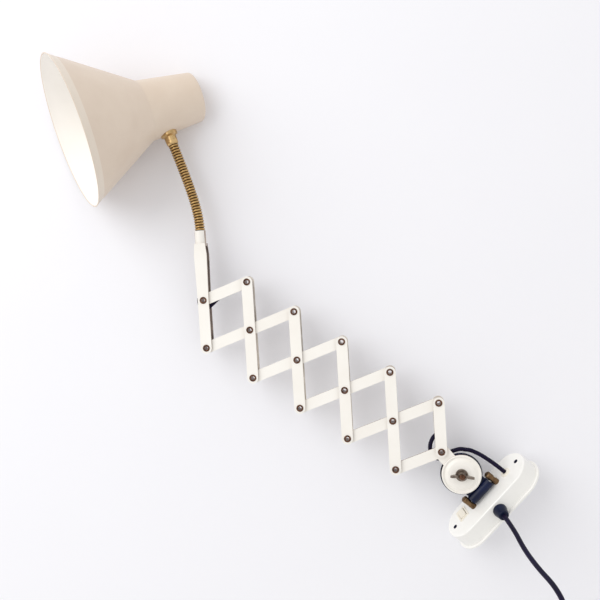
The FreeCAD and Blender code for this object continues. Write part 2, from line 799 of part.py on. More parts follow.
def route_edges(points):
    """Straight runs joined by tangent arcs; each arc is as large as its runs allow."""
    edges = []
    found = []
    here = points[0]
    for index in range(1, len(points) - 1):
        corner = points[index]
        before = points[index - 1] - corner
        after = points[index + 1] - corner
        run = min(before.Length, after.Length)
        before.normalize()
        after.normalize()
        half_turn = (math.pi - before.getAngle(after)) / 2
        radius = 0.45 * run / math.tan(half_turn)
        reach = radius * math.tan(half_turn)
        start = corner + before * reach
        end = corner + after * reach
        edges.append(Part.LineSegment(here, start).toShape())
        edges.append(arc_through(start, before * -1, end))
        found.append(radius)
        here = end
    edges.append(Part.LineSegment(here, points[-1]).toShape())
    return edges, found


def swept(edges, radius):
    """A round tube along tangent edges."""
    path = Part.Wire(edges)
    first = path.Edges[0]
    start = first.valueAt(first.FirstParameter)
    tangent = first.tangentAt(first.FirstParameter)
    section = Part.Wire([Part.Circle(start, tangent, radius).toShape()])
    shell = Part.BRepOffsetAPI.MakePipeShell(path)
    shell.add(section)
    shell.build()
    shell.makeSolid()
    tube = shell.shape()
    ideal = math.pi * radius * radius * path.Length
    return tube, path.Length, tube.Volume / ideal


# ---------------------------------------------------------------- arm cable

def side_of(line):
    """The direction across a bar, a quarter turn from the line."""
    return Vector(-line.y, line.x, 0)


# How far from a pivot the cable cuts the corner between two bars, how far it lies beside the
# middle of an outer bar, where along that bar its lengths meet, and how wide it goes round the
# fork's pivot, point by point.
corner_cut = 8.8
edge_offset = -1.6
cable_joint = 30
fork_wrap = (9.6, 9.0, 6.8)


def upper_zigzag():
    """The cable's corner points from the middle of one outer bar's upper half to the next.

    It goes up an outer bar, turns inside the corner below the top pivot, comes down the inner
    bar and turns inside the corner above the middle pivot.
    """
    sections = []
    beside = side_of(outer_line) * edge_offset
    for number in range(BAYS, 1, -1):
        top = top_pivot(number)
        middle = middle_pivot(number - 1)
        points = [
            middle_pivot(number) + outer_line * cable_joint + beside,
            top - outer_line * 16 + beside,
            top - outer_line * corner_cut,
            top + inner_line * corner_cut,
            top + inner_line * (half_bar.value / 2) + side_of(inner_line) * 0.4,
            middle - inner_line * corner_cut,
            middle + outer_line * corner_cut,
            middle + outer_line * 18 + beside,
            middle + outer_line * cable_joint + beside]
        sections.append(points)
    return sections


def last_stretch():
    """Up the last outer bar, down the last inner bar, below its end pivot and into the fork."""
    top = top_pivot(1)
    end = middle_pivot(0)
    beside = side_of(outer_line) * edge_offset
    points = [
        middle_pivot(1) + outer_line * cable_joint + beside,
        top - outer_line * 16 + beside,
        top - outer_line * corner_cut,
        top + inner_line * corner_cut,
        end - inner_line * (half_bar.value / 2) + side_of(inner_line) * 0.4,
        end - inner_line * 17 + side_of(inner_line) * 3]
    below = (inner_line * -1 + outer_line) * -1
    below.normalize()
    for degrees, radius in zip((52, 0, -52), fork_wrap):
        points.append(end + Rotation(Z_AXIS, degrees).multVec(below) * radius)
    points.append(end + outer_line * 17 + side_of(outer_line) * 1.5)
    return points


def make_arm_cable():
    radius = cable_radius.value
    layer = Vector(0, 0, cable_layer.value)
    radii_found = []
    bush_world = Vector(0, -base_depth.value - bush_lip.value, bush_height.value)
    start = arm_frame.inverse().multVec(bush_world)
    outward_local = arm_frame.Rotation.inverted().multVec(Vector(0, -1, 0))

    # The free loop from the bush, over the hinge and down behind the disc's edge. Values are
    # x, y and z in the arm frame.
    loop = [start, start + outward_local * 8, Vector(15, 30.5, -2.0), Vector(2, 28.2, -4.2),
            Vector(-8, 25.0, -5.0)]
    loop_split = (loop[-1] + Vector(-17.5, 18.5, -5.0)) * 0.5
    upper_loop = loop + [loop_split]
    lower_loop = [loop_split, Vector(-17.5, 18.5, -5.0), Vector(-22.3, 10.5, -5.0)]
    u_turn_start = (lower_loop[-1] + Vector(-22.8, 1.0, -4.4)) * 0.5
    lower_loop.append(u_turn_start)
    last_run = [middle_pivot(BAYS) + outer_line * along_bar + side_of(outer_line) * edge_offset
                for along_bar in (20, cable_joint)]
    u_turn = [u_turn_start, Vector(-22.8, 1.0, -4.4), Vector(-28.0, -5.6, -2.8),
              Vector(-37.5, -5.8, cable_layer.value), Vector(-44.5, 1.0, cable_layer.value),
              Vector(-47.8, 11.0, cable_layer.value)]
    u_turn += [point + layer for point in last_run]
    sections = [upper_loop, lower_loop, u_turn]
    for points in upper_zigzag():
        sections.append([point + layer for point in points])
    end = middle_pivot(0)
    section = [point + layer for point in last_stretch()]
    tube_layer = (front_high.value + rear_low.value) / 2
    section.append(end + outer_line * 38 + Vector(0, 0, tube_layer))
    section.append(end + outer_line * tube_end.value + Vector(0, 0, tube_layer))
    sections.append(section)

    total = 0
    for index, points in enumerate(sections):
        edges, radii = route_edges(points)
        tube, length, ratio = swept(edges, radius)
        total += length
        radii_found += radii
        name = "arm_cable_" + str(index)
        finish(shaped(name, tube), name, arm_frame)
        print(name, "length", round(length, 1), "volume ratio", round(ratio, 4),
              "radii", [round(r, 1) for r in radii])
    print("arm cable length", round(total, 1), "least radius", round(min(radii_found), 2))


# ---------------------------------------------------------------- gooseneck

# Each segment's ribs and how far it turns, in degrees, from the fork to the ferrule.
NECK_SEGMENTS = ((6, 9.4), (6, 5.6), (6, 2.2), (6, 1.0), (6, 0.2))
neck_joints = []


def neck_station(heading, at, bend, length, distance):
    """Point and tangent at a distance along an arc of the gooseneck, in the arm plane."""
    turned_by = math.radians(bend) * distance / length
    start_angle = math.radians(180 - heading)
    angle = start_angle + turned_by
    radius = length / math.radians(bend)
    point = at + Vector(math.sin(angle) - math.sin(start_angle),
                        math.cos(start_angle) - math.cos(angle), 0) * radius
    return point, Vector(math.cos(angle), math.sin(angle), 0)


def circle_wire(point, tangent, radius):
    """A circle square to the tangent whose start lies along the clamp bolt's axis."""
    side = Z_AXIS.cross(tangent)
    circle = Part.Circle(point, tangent, radius)
    circle.XAxis = side
    return Part.Wire([circle.toShape()])


def make_gooseneck():
    heading = arm_elevation.value + arm_half_angle.value
    layer = Vector(0, 0, (front_high.value + rear_low.value) / 2)
    at = middle_pivot(0) + outer_line * tube_end.value + layer
    pitch = rib_pitch.value
    gap = neck_joint_gap.value
    peak = rib_radius.value
    valley = rib_valley_radius.value
    rib_shape = ((0.0, valley), (0.24, peak), (0.66, peak), (0.9, valley))
    bore = neck_bore_radius.value
    last = len(NECK_SEGMENTS) - 1
    for index, (ribs, bend) in enumerate(NECK_SEGMENTS):
        body_length = ribs * pitch - 0.1 * pitch
        low = 0 if index == 0 else gap / 2
        high = 0 if index == last else gap / 2
        length = low + body_length + high
        wires = []
        for rib in range(ribs):
            for fraction, radius in rib_shape:
                distance = low + (rib + fraction) * pitch
                point, tangent = neck_station(heading, at, bend, length, distance)
                wires.append(circle_wire(point, tangent, radius))
        outer = Part.makeLoft(wires, True, True)
        bore_wires = []
        steps = 6
        for step in range(steps + 1):
            distance = -1 + (length + 2) * step / steps
            point, tangent = neck_station(heading, at, bend, length, distance)
            bore_wires.append(circle_wire(point, tangent, bore))
        tube = outer.cut(Part.makeLoft(bore_wires, True, True))
        end_point, end_tangent = neck_station(heading, at, bend, length, length)
        if index < last:
            cup = Part.makeSphere(ball_radius.value + ball_clearance.value, end_point)
            tube = tube.cut(cup)
            neck_joints.append((end_point, end_tangent))
        if index > 0:
            start_point, start_tangent = neck_station(heading, at, bend, length, 0)
            ball_bore = ball_bore_radius.value
            lowest = -math.degrees(math.acos(ball_bore / ball_radius.value)) + 1
            highest = math.degrees(math.asin((gap / 2 + 0.3) / ball_radius.value))
            ball = Part.makeSphere(ball_radius.value, start_point, start_tangent,
                                   lowest, highest, 360)
            hole = Part.makeCylinder(ball_bore, 4 * bore, start_point - start_tangent * 2 * bore,
                                     start_tangent)
            tube = tube.fuse(ball.cut(hole))
        name = "gooseneck_" + str(index + 1)
        finish(shaped(name, tube), name, arm_frame)
        at = end_point
        heading -= bend
    return at, heading


# ---------------------------------------------------------------- head

def make_head(end, heading):
    """The ferrule at the gooseneck's end, and the shade with its lampholder and bulb."""
    reach = arm_direction(heading)
    neck_slope = (shade_neck_radius - shade_end_radius) / shade_neck_length
    seat_radius = shade_neck_radius - neck_slope * ferrule_to_cone
    head_origin = end + reach * (ferrule_length.value + seat_radius.value)
    down = arm_direction(heading - 90)
    roll = math.radians(head_roll.value)
    opening = down * math.cos(roll) + Z_AXIS * math.sin(roll)
    side = opening.cross(reach)
    head_frame = arm_frame.multiply(Placement(head_origin, Rotation(reach, side, opening, "ZXY")))

    neck_back = -(shade_neck_length - ferrule_to_cone)
    rim = ferrule_to_cone + shade_cone_length
    slant = 1.2
    outer = [(0, neck_back), (shade_end_radius - shade_corner, neck_back),
             (shade_end_radius - shade_corner * 0.3, neck_back + shade_corner * 0.3),
             (shade_end_radius, neck_back + shade_corner), (shade_neck_radius, ferrule_to_cone),
             (shade_rim_radius, rim)]
    inner = [(shade_rim_radius - shade_wall * slant, rim),
             (shade_neck_radius - shade_wall, ferrule_to_cone + shade_wall * 0.5),
             (shade_end_radius - shade_wall, neck_back + shade_corner),
             (shade_end_radius - shade_corner * 0.3 - shade_wall * 0.7,
              neck_back + shade_corner * 0.3 + shade_wall * 0.7),
             (shade_end_radius - shade_corner, neck_back + shade_wall),
             (0, neck_back + shade_wall)]
    blank = turned("shade_blank", outer + inner)
    thread_hole = cylinder("shade_thread_hole", ferrule_thread_radius + running_gap, 30,
                           Placement(Vector(-seat_radius.value + 10, 0, 0), Rotation(Y_AXIS, -90)))
    shade = cut("shade", blank, thread_hole)
    finish(shade, "shade", head_frame)

    # The ferrule's own axis is its Z, with the gooseneck's end at its origin.
    seat = ferrule_length + ferrule_flange_height
    thread_top = ferrule_length + ferrule_thread_length
    ferrule_blank = turned("ferrule_blank", [
        (0, 0), (rib_radius, 0), (ferrule_radius, 2), (ferrule_radius, seat - 6.5),
        (ferrule_flange_radius, seat - 5), (ferrule_flange_radius, seat), (0, seat)])
    saddle = turned("saddle_tool", [
        (0, neck_back), (shade_end_radius, neck_back + shade_corner),
        (shade_neck_radius, ferrule_to_cone), (0, ferrule_to_cone)])
    centre_to_end = ferrule_length + seat_radius
    saddle.Placement = Placement(Vector(0, 0, centre_to_end.value), Rotation(Y_AXIS, -90))
    saddled = cut("ferrule_saddled", ferrule_blank, saddle)
    thread_base = ferrule_length - ferrule_flange_height
    thread = cylinder("ferrule_thread", ferrule_thread_radius, thread_top - thread_base,
                      shift(0, 0, thread_base.value))
    ferrule_bore = cylinder("ferrule_bore", neck_bore_radius, 60, shift(0, 0, -10))
    ferrule = cut("ferrule", fuse("ferrule_solid", [saddled, thread]), ferrule_bore)
    ferrule_place = Placement(end, Rotation(opening * -1, side, reach, "ZXY"))
    finish(ferrule, "ferrule", arm_frame.multiply(ferrule_place))

    # Inside, the holder plate lies under the ferrule's nut and carries the lampholder.
    plate_outer = seat_radius - shade_wall - 1.4
    plate_inner = plate_outer - holder_plate
    leg = box("holder_leg", holder_plate_width * 1.2, holder_plate_width, holder_plate)
    leg.Placement = Placement(Vector(-plate_outer.value, -float(holder_plate_width) / 2,
                                     -float(holder_plate_width) * 0.6), Rotation())
    leg.setExpression("Length", holder_plate.text)
    leg.setExpression("Height", (holder_plate_width * 1.2).text)
    floor_z = -float(holder_plate_width) * 0.6
    foot = doc.addObject("Part::Box", "holder_foot")
    bind(foot, "Length", plate_outer + holder_radius * 0.5)
    bind(foot, "Width", holder_plate_width)
    bind(foot, "Height", holder_plate)
    foot.Placement = shift(-plate_outer.value, -float(holder_plate_width) / 2,
                           floor_z - holder_plate.value)
    plate_hole = cylinder("holder_plate_hole", ferrule_thread_radius + running_gap, 60,
                          Placement(Vector(-10, 0, 0), Rotation(Y_AXIS, -90)))
    bracket = cut("holder_bracket", fuse("holder_solid", [leg, foot]), plate_hole)
    finish(bracket, "holder_bracket", head_frame)

    nut = doc.addObject("Part::Prism", "ferrule_nut_blank")
    nut.Polygon = 6
    bind(nut, "Circumradius", nut_across / 2)
    bind(nut, "Height", nut_height)
    nut_bore = cylinder("ferrule_nut_bore", ferrule_thread_radius + running_gap / 2, 20,
                        shift(0, 0, -5))
    ferrule_nut = cut("ferrule_nut", nut, nut_bore)
    nut_place = Placement(Vector(-plate_inner.value, 0, 0), Rotation(Y_AXIS, 90))
    finish(ferrule_nut, "ferrule_nut", head_frame.multiply(nut_place))

    holder = turned("lampholder", [
        (0, floor_z), (holder_radius * 0.85, floor_z), (holder_radius, floor_z + 4),
        (holder_radius, floor_z + holder_length), (holder_bore_radius, floor_z + holder_length),
        (holder_bore_radius, floor_z + holder_length - cap_length),
        (0, floor_z + holder_length - cap_length)])
    finish(holder, "lampholder", head_frame)

    mouth = floor_z + holder_length
    cap = turned("bulb_cap", [
        (0, mouth - cap_length + 0.2), (cap_radius * 0.5, mouth - cap_length + 0.2),
        (cap_radius, mouth - cap_length + 3), (cap_radius, mouth + 1), (0, mouth + 1)])
    finish(cap, "bulb_cap", head_frame)
    glass_low = mouth + 1
    centre_z = glass_low + bulb_neck_length + bulb_radius * 0.9
    profile = [(0, glass_low), (bulb_neck_radius, glass_low),
               (bulb_neck_radius, glass_low + bulb_neck_length * 0.5)]
    for degrees in range(-60, 90, 15):
        angle = math.radians(degrees)
        profile.append((bulb_radius * math.cos(angle), centre_z + bulb_radius * math.sin(angle)))
    profile.append((0, centre_z + bulb_radius))
    finish(turned("bulb_glass", profile), "bulb_glass", head_frame)
    return head_frame


# ---------------------------------------------------------------- mains lead

# The lead's route from the gland, chosen by hand: x, y and z in the lamp's frame.
LEAD_ROUTE = ((60, -10.5, 0), (90, -10.1, -3.6), (122, -9.6, -3.6), (154, -9.0, -0.8),
              (182, -8.9, -4.6), (205, -9.3, -22.0), (214, -9.9, -48.0))
COIL_TURNS_PER_LAYER = 3
COIL_CENTRE = (176, -10.4, -92)


def coil_point(quarters):
    """Point of the coil after this many quarter turns; it spirals in, steps out and spirals out."""
    per_layer = 4 * COIL_TURNS_PER_LAYER
    step_quarters = 2
    pitch = coil_turn_pitch.value
    outer = coil_mean_radius.value + pitch * COIL_TURNS_PER_LAYER / 2
    rate = pitch / 4
    low = outer - rate * per_layer
    if quarters <= per_layer:
        radius = outer - rate * quarters
        climb = 0
    elif quarters >= per_layer + step_quarters:
        radius = low + rate * (quarters - per_layer - step_quarters)
        climb = 1
    else:
        part = (quarters - per_layer) / step_quarters
        radius = low - rate * step_quarters * part * (1 - part)
        climb = part * part * (3 - 2 * part)
    angle = -math.pi / 2 * quarters
    centre = Vector(*COIL_CENTRE)
    return centre + Vector(radius * math.cos(angle), -pitch * climb, radius * math.sin(angle))


def coil_tangent(quarters):
    step = 1e-4
    tangent = coil_point(quarters + step) - coil_point(quarters - step)
    tangent.normalize()
    return tangent


def biarc(start, start_tangent, end, end_tangent):
    """Two arcs that join two points with given tangents."""
    span = end - start
    both = start_tangent + end_tangent
    scale = 2 * (1 - start_tangent.dot(end_tangent))
    reach = span.dot(both)
    handle = (-reach + math.sqrt(reach * reach + scale * span.dot(span))) / scale
    joint = (start + end) * 0.5 + (start_tangent - end_tangent) * (handle / 2)
    first = arc_through(start, start_tangent, joint)
    back = arc_through(end, end_tangent * -1, joint)
    middle = back.valueAt((back.FirstParameter + back.LastParameter) / 2)
    second = Part.Arc(joint, middle, end).toShape()
    return [first, second]


def least_gap(edges, diameter):
    """The least distance between turns that aren't neighbours along the cord, less its diameter."""
    points = []
    distance = 0
    for edge in edges:
        for point in edge.discretize(7)[:-1]:
            if points:
                distance += (point - points[-1][0]).Length
            points.append((point, distance))
    least = 1e9
    for index, (point, run) in enumerate(points):
        for other, other_run in points[index + 1:]:
            if other_run - run > 6 * diameter:
                least = min(least, (point - other).Length)
    return least - diameter


def make_lead():
    radius = lead_radius.value
    start = Vector(cover_radius.value + gland_length.value, -base_depth.value / 2, 0)
    total_quarters = 8 * COIL_TURNS_PER_LAYER + 1
    coil_start = coil_point(0)
    coil_end = coil_point(total_quarters)
    entry = coil_tangent(0)
    leave = coil_tangent(total_quarters)

    points = [start] + [Vector(*p) for p in LEAD_ROUTE]
    points.append(coil_start - entry * 22)
    points.append(coil_start)
    edges, radii = route_edges(points)
    tube, lead_length, ratio = swept(edges, radius)
    finish(shaped("mains_lead", tube), "mains_lead")
    print("mains_lead length", round(lead_length, 1), "volume ratio", round(ratio, 4),
          "radii", [round(r, 1) for r in radii])

    edges = []
    for quarter in range(total_quarters):
        edges += biarc(coil_point(quarter), coil_tangent(quarter),
                       coil_point(quarter + 1), coil_tangent(quarter + 1))
    coil, coil_length, ratio = swept(edges, radius)
    finish(shaped("lead_coil", coil), "lead_coil")
    print("lead_coil length", round(coil_length, 1), "volume ratio", round(ratio, 4),
          "least gap", round(least_gap(edges, 2 * radius), 2))

    tail = 26
    plug_start = coil_end + leave * tail
    tail_tube, tail_length, ratio = swept(
        [Part.LineSegment(coil_end, plug_start).toShape()], radius)
    finish(shaped("lead_tail", tail_tube), "lead_tail")
    print("lead length in all", round(lead_length + coil_length + tail_length, 1))

    # The plug carries on along the tail, flat against the coil's plane.
    across = leave.cross(Y_AXIS)
    plug_frame = Placement(plug_start, Rotation(across, Y_AXIS, leave, "ZXY"))
    shell = box("plug_shell", plug_width, plug_thickness, plug_length * 0.72,
                shift(0, 0, plug_length.value * 0.28))
    grip = turned("plug_grip", [
        (0, 0), (radius * 1.4, 0), (plug_thickness * 0.45, plug_length * 0.3),
        (plug_thickness * 0.45, plug_length * 0.5), (0, plug_length * 0.5)])
    finish(fuse("plug_body", [shell, grip]), "plug_body", plug_frame)
    pins = []
    for sign, side in ((1, "first"), (-1, "second")):
        pins.append(cylinder(side + "_plug_pin", plug_pin_radius, plug_pin_length,
                             shift(sign * plug_pin_spacing.value / 2, 0, plug_length.value)))
    finish(compound("plug_pins", pins), "plug_pins", plug_frame)

    # The tie goes round the bundle on the coil's far side, where both layers lie.
    pitch = coil_turn_pitch.value
    radial = pitch * COIL_TURNS_PER_LAYER + 2 * radius
    deep = pitch + 2 * radius + 1
    outer = box("tie_outer", radial + 2 * tie_thickness.value, tie_width,
                deep + 2 * tie_thickness.value, shift(0, 0, -tie_thickness.value))
    inner = box("tie_inner", radial, tie_width * 3, deep)
    tie_centre = Vector(*COIL_CENTRE) - Vector(coil_mean_radius.value - pitch / 4, 0, 0)
    tie_place = Placement(tie_centre + Vector(0, radius + 0.5, 0), Rotation(X_AXIS, 90))
    finish(cut("cord_tie", outer, inner), "cord_tie", tie_place)


# ---------------------------------------------------------------- build, check and write

def report_joint(name, point, axis):
    world = arm_frame.multVec(point)
    direction = arm_frame.Rotation.multVec(axis)
    print("JOINT", name, *[round(v, 9) for v in tuple(world) + tuple(direction)])


def report_frames(head_frame):
    report_joint("disc", Vector(0, 0, 0), Z_AXIS)
    for number in range(BAYS, -1, -1):
        report_joint("middle_" + str(number), middle_pivot(number), Z_AXIS)
        report_joint("top_" + str(number), top_pivot(number), Z_AXIS)
        report_joint("low_" + str(number), low_pivot(number), Z_AXIS)
    for index, (point, tangent) in enumerate(neck_joints):
        axis = Z_AXIS if index % 2 == 0 else Z_AXIS.cross(tangent)
        report_joint("neck_" + str(index + 1), point, axis)
    print("HEAD", *[round(v, 4) for v in tuple(head_frame.Base)],
          *[round(v, 4) for axis in (X_AXIS, Y_AXIS, Z_AXIS)
            for v in tuple(head_frame.Rotation.multVec(axis))])


def check_document():
    doc.recompute()
    for thing in doc.Objects:
        if "Invalid" in thing.State or "Error" in thing.State:
            raise RuntimeError(thing.Name + " failed: " + str(thing.State))
    for thing in nodes:
        if thing.Shape.isNull() or not thing.Shape.isValid() or not thing.Shape.Solids:
            raise RuntimeError(thing.Label + " has no sound shape")


def write_nodes():
    os.makedirs("parts", exist_ok=True)
    for thing in nodes:
        thing.Shape.exportStep("parts/" + thing.Label + ".step")
    print(len(nodes), "nodes written")


make_back_plate()
make_base_cover()
make_hinge_posts()
make_base_fittings()
make_swivel()
make_disc_arm()
make_bars()
make_end_fork()
make_rivets()
make_arm_cable()
neck_end, neck_heading = make_gooseneck()
head = make_head(neck_end, neck_heading)
make_lead()
check_document()
report_frames(head)
write_nodes()
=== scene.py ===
import json
import math

import bmesh
import bpy
from mathutils import Matrix, Vector


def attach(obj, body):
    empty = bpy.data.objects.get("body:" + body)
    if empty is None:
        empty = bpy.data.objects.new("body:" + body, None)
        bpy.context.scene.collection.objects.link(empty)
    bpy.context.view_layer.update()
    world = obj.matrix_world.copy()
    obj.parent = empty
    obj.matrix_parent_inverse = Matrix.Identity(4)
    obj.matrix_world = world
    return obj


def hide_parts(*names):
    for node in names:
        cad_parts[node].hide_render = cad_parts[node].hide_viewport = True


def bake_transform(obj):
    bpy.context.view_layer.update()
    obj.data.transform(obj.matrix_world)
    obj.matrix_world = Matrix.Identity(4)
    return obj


# Lengths are millimetres and angles degrees, except where a name or comment says metres.

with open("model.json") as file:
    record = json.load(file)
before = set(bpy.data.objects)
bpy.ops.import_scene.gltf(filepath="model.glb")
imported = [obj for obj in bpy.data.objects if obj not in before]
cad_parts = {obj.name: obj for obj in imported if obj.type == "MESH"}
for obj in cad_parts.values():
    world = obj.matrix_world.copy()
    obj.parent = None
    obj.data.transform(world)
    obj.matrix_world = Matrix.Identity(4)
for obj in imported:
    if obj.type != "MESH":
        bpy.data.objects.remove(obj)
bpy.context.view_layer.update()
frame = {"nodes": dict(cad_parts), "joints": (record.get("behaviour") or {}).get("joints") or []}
nodes = frame["nodes"]
MM = 0.001
joints = {joint["name"]: joint for joint in frame["joints"]}


def joint_point(name):
    """A joint's place, in metres."""
    return Vector(joints[name]["pos_m"])


def joint_axis(name):
    return Vector(joints[name]["axis"])


def add_object(name, data):
    """A new object of the scene that carries this data."""
    thing = bpy.data.objects.new(name, data)
    bpy.context.scene.collection.objects.link(thing)
    return thing


# ---------------------------------------------------------------- the arm's own directions

BOLT_AXIS = joint_axis("tilt").normalized()
UP = Vector((0, 0, 1))
OUTWARD = UP.cross(BOLT_AXIS).normalized() * -1
DISC = joint_point("tilt")
OUTER_LINE_ELEVATION = 45.7
INNER_LINE_ELEVATION = -63.5


def arm_vector(elevation):
    """A direction in the arm's plane, this many degrees above straight out."""
    angle = math.radians(elevation)
    return OUTWARD * math.cos(angle) + UP * math.sin(angle)


# ---------------------------------------------------------------- camera

CAMERA_PLACE = Vector((736.0, -513.6, 121.0))
PICTURE_RIGHT = Vector((0.1297, 0.7512, 0.6472))
PICTURE_UP = Vector((-0.2506, -0.6067, 0.7544))
PICTURE_BACK = Vector((0.9594, -0.2600, 0.1095))
SENSOR_WIDTH = 36
FOCAL_LENGTH = 48
CLIP_START_METRES = 0.02
CLIP_END_METRES = 20


def make_camera():
    """The photograph's view, looking at the arm almost along its clamp bolt."""
    data = bpy.data.cameras.new("camera")
    data.sensor_width = SENSOR_WIDTH
    data.lens = FOCAL_LENGTH
    data.clip_start = CLIP_START_METRES
    data.clip_end = CLIP_END_METRES
    camera = add_object("camera", data)
    turn = Matrix((PICTURE_RIGHT, PICTURE_UP, PICTURE_BACK)).transposed().to_quaternion()
    camera.rotation_mode = "QUATERNION"
    camera.rotation_quaternion = turn
    camera.location = CAMERA_PLACE * MM
    bpy.context.scene.camera = camera


# ---------------------------------------------------------------- mains lead

GLAND_TIP = (34.5, -10.5, 0)
LEAD_ROUTE = ((60, -10.5, 0), (90, -10.1, -3.6), (122, -9.6, -3.6), (154, -9.0, -0.8),
              (182, -8.9, -4.6), (205, -9.3, -22.0), (214, -9.9, -48.0))
LEAD_RADIUS = 2.4
COIL_CENTRE = (176, -10.4, -92)
COIL_MEAN_RADIUS = 33
COIL_PITCH = 5.3
COIL_TURNS_PER_LAYER = 3
COIL_QUARTERS = 8 * COIL_TURNS_PER_LAYER + 1
COIL_STEP_QUARTERS = 2
COIL_LEAD_IN = 22
COIL_POINTS_PER_QUARTER = 4
LEAD_TAIL = 26
LEAD_SPLINE_ORDER = 3
LEAD_SPLINE_STEPS = 6
LEAD_ROUND_STEPS = 5
SHORT_STEP = 0.01


def coil_point(quarters):
    """The coil after this many quarter turns: it spirals in, steps out and spirals out again."""
    per_layer = 4 * COIL_TURNS_PER_LAYER
    rate = COIL_PITCH / 4
    outer = COIL_MEAN_RADIUS + COIL_PITCH * COIL_TURNS_PER_LAYER / 2
    low = outer - rate * per_layer
    if quarters <= per_layer:
        radius = outer - rate * quarters
        climb = 0
    elif quarters >= per_layer + COIL_STEP_QUARTERS:
        radius = low + rate * (quarters - per_layer - COIL_STEP_QUARTERS)
        climb = 1
    else:
        part = (quarters - per_layer) / COIL_STEP_QUARTERS
        radius = low - rate * COIL_STEP_QUARTERS * part * (1 - part)
        climb = part * part * (3 - 2 * part)
    angle = -math.pi / 2 * quarters
    across = Vector((radius * math.cos(angle), -COIL_PITCH * climb, radius * math.sin(angle)))
    return Vector(COIL_CENTRE) + across


def lead_points():
    """The lead's way from the gland through the coil to the plug."""
    coil_end = coil_point(COIL_QUARTERS)
    entry = (coil_point(SHORT_STEP) - coil_point(0)).normalized()
    leave = (coil_end - coil_point(COIL_QUARTERS - SHORT_STEP)).normalized()
    points = [Vector(GLAND_TIP)] + [Vector(p) for p in LEAD_ROUTE]
    points.append(coil_point(0) - entry * COIL_LEAD_IN)
    for step in range(COIL_QUARTERS * COIL_POINTS_PER_QUARTER + 1):
        points.append(coil_point(step / COIL_POINTS_PER_QUARTER))
    points.append(coil_end + leave * (LEAD_TAIL / 2))
    points.append(coil_end + leave * LEAD_TAIL)
    return points


def make_lead():
    """The free lead as one smooth round line."""
    points = lead_points()
    curve = bpy.data.curves.new("lead", "CURVE")
    curve.dimensions = "3D"
    spline = curve.splines.new("NURBS")
    spline.points.add(len(points) - 1)
    for place, point in zip(spline.points, points):
        place.co = (*(point * MM), 1)
    spline.order_u = LEAD_SPLINE_ORDER
    spline.use_endpoint_u = True
    spline.resolution_u = LEAD_SPLINE_STEPS
    curve.bevel_depth = LEAD_RADIUS * MM
    curve.bevel_resolution = LEAD_ROUND_STEPS
    curve.use_fill_caps = True
    lead = add_object("lead", curve)
    lead.data.materials.append(sheath)
    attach(lead, "base")
    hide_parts("mains_lead", "lead_coil", "lead_tail")


# ---------------------------------------------------------------- material helpers

def new_material(name):
    material = bpy.data.materials.new(name)
    material.use_nodes = True
    tree = material.node_tree
    shader = tree.nodes["Principled BSDF"]
    return material, tree, shader


def add_noise(tree, scale, detail=4.0, roughness=0.55):
    place = tree.nodes.new("ShaderNodeTexCoord")
    noise = tree.nodes.new("ShaderNodeTexNoise")
    noise.inputs["Scale"].default_value = scale
    noise.inputs["Detail"].default_value = detail
    noise.inputs["Roughness"].default_value = roughness
    tree.links.new(place.outputs["Object"], noise.inputs["Vector"])
    return noise


def ramp_from(tree, source, stops):
    """A colour ramp with these (position, colour) stops."""
    ramp = tree.nodes.new("ShaderNodeValToRGB")
    elements = ramp.color_ramp.elements
    while len(elements) < len(stops):
        elements.new(0.5)
    for element, (position, colour) in zip(elements, stops):
        element.position = position
        element.color = (*colour, 1)
    tree.links.new(source, ramp.inputs["Fac"])
    return ramp


def add_bump(tree, shader, source, strength):
    bump = tree.nodes.new("ShaderNodeBump")
    bump.inputs["Strength"].default_value = strength
    bump.inputs["Distance"].default_value = RELIEF_METRES
    tree.links.new(source, bump.inputs["Height"])
    tree.links.new(bump.outputs["Normal"], shader.inputs["Normal"])


def add_roughness(tree, shader, source, low, high):
    spread = tree.nodes.new("ShaderNodeMapRange")
    spread.inputs["To Min"].default_value = low
    spread.inputs["To Max"].default_value = high
    tree.links.new(source, spread.inputs["Value"])
    tree.links.new(spread.outputs["Result"], shader.inputs["Roughness"])


def mix_colours(tree, factor, first, second):
    mix = tree.nodes.new("ShaderNodeMix")
    mix.data_type = "RGBA"
    tree.links.new(factor, mix.inputs["Factor"])
    tree.links.new(first, mix.inputs["A"])
    tree.links.new(second, mix.inputs["B"])
    return mix.outputs["Result"]


def math_result(tree, operation, source, second=None):
    """The value of a Math node on a source and, where the operation has one, a second number."""
    node = tree.nodes.new("ShaderNodeMath")
    node.operation = operation
    if second is not None:
        node.inputs[1].default_value = second
    tree.links.new(source, node.inputs[0])
    return node.outputs["Value"]


def reach_along_bolt(tree, source):
    """How far this source's vector reaches along the clamp bolt."""
    node = tree.nodes.new("ShaderNodeVectorMath")
    node.operation = "DOT_PRODUCT"
    node.inputs[1].default_value = BOLT_AXIS
    tree.links.new(source, node.inputs[0])
    return node.outputs["Value"]


# ---------------------------------------------------------------- materials

WALL_HOLE_SPACING = 95
WALL_HOLE_RADIUS = 2.3
WALL_HOLE_MARGIN = 1.04
RELIEF_METRES = 0.0002
MOTTLE_SCALE = 28
PEEL_SCALE = 900
PEEL_STRENGTH = 0.12
SMOOTHER = 0.05
DULLER = 0.08
# The arm enamel's painted shade falls on faces turned this far from the bolt, and on the back layer
# past this depth.
WALL_FACING_LIMIT = 0.5
REAR_LAYER_DEPTH_METRES = 0.002
# Painted shade inside the wall screw holes.
HOLE_SHADE_COLOUR = (0.030, 0.034, 0.080, 1)
GLASS_SCATTER_METRES = (0.01, 0.009, 0.008)


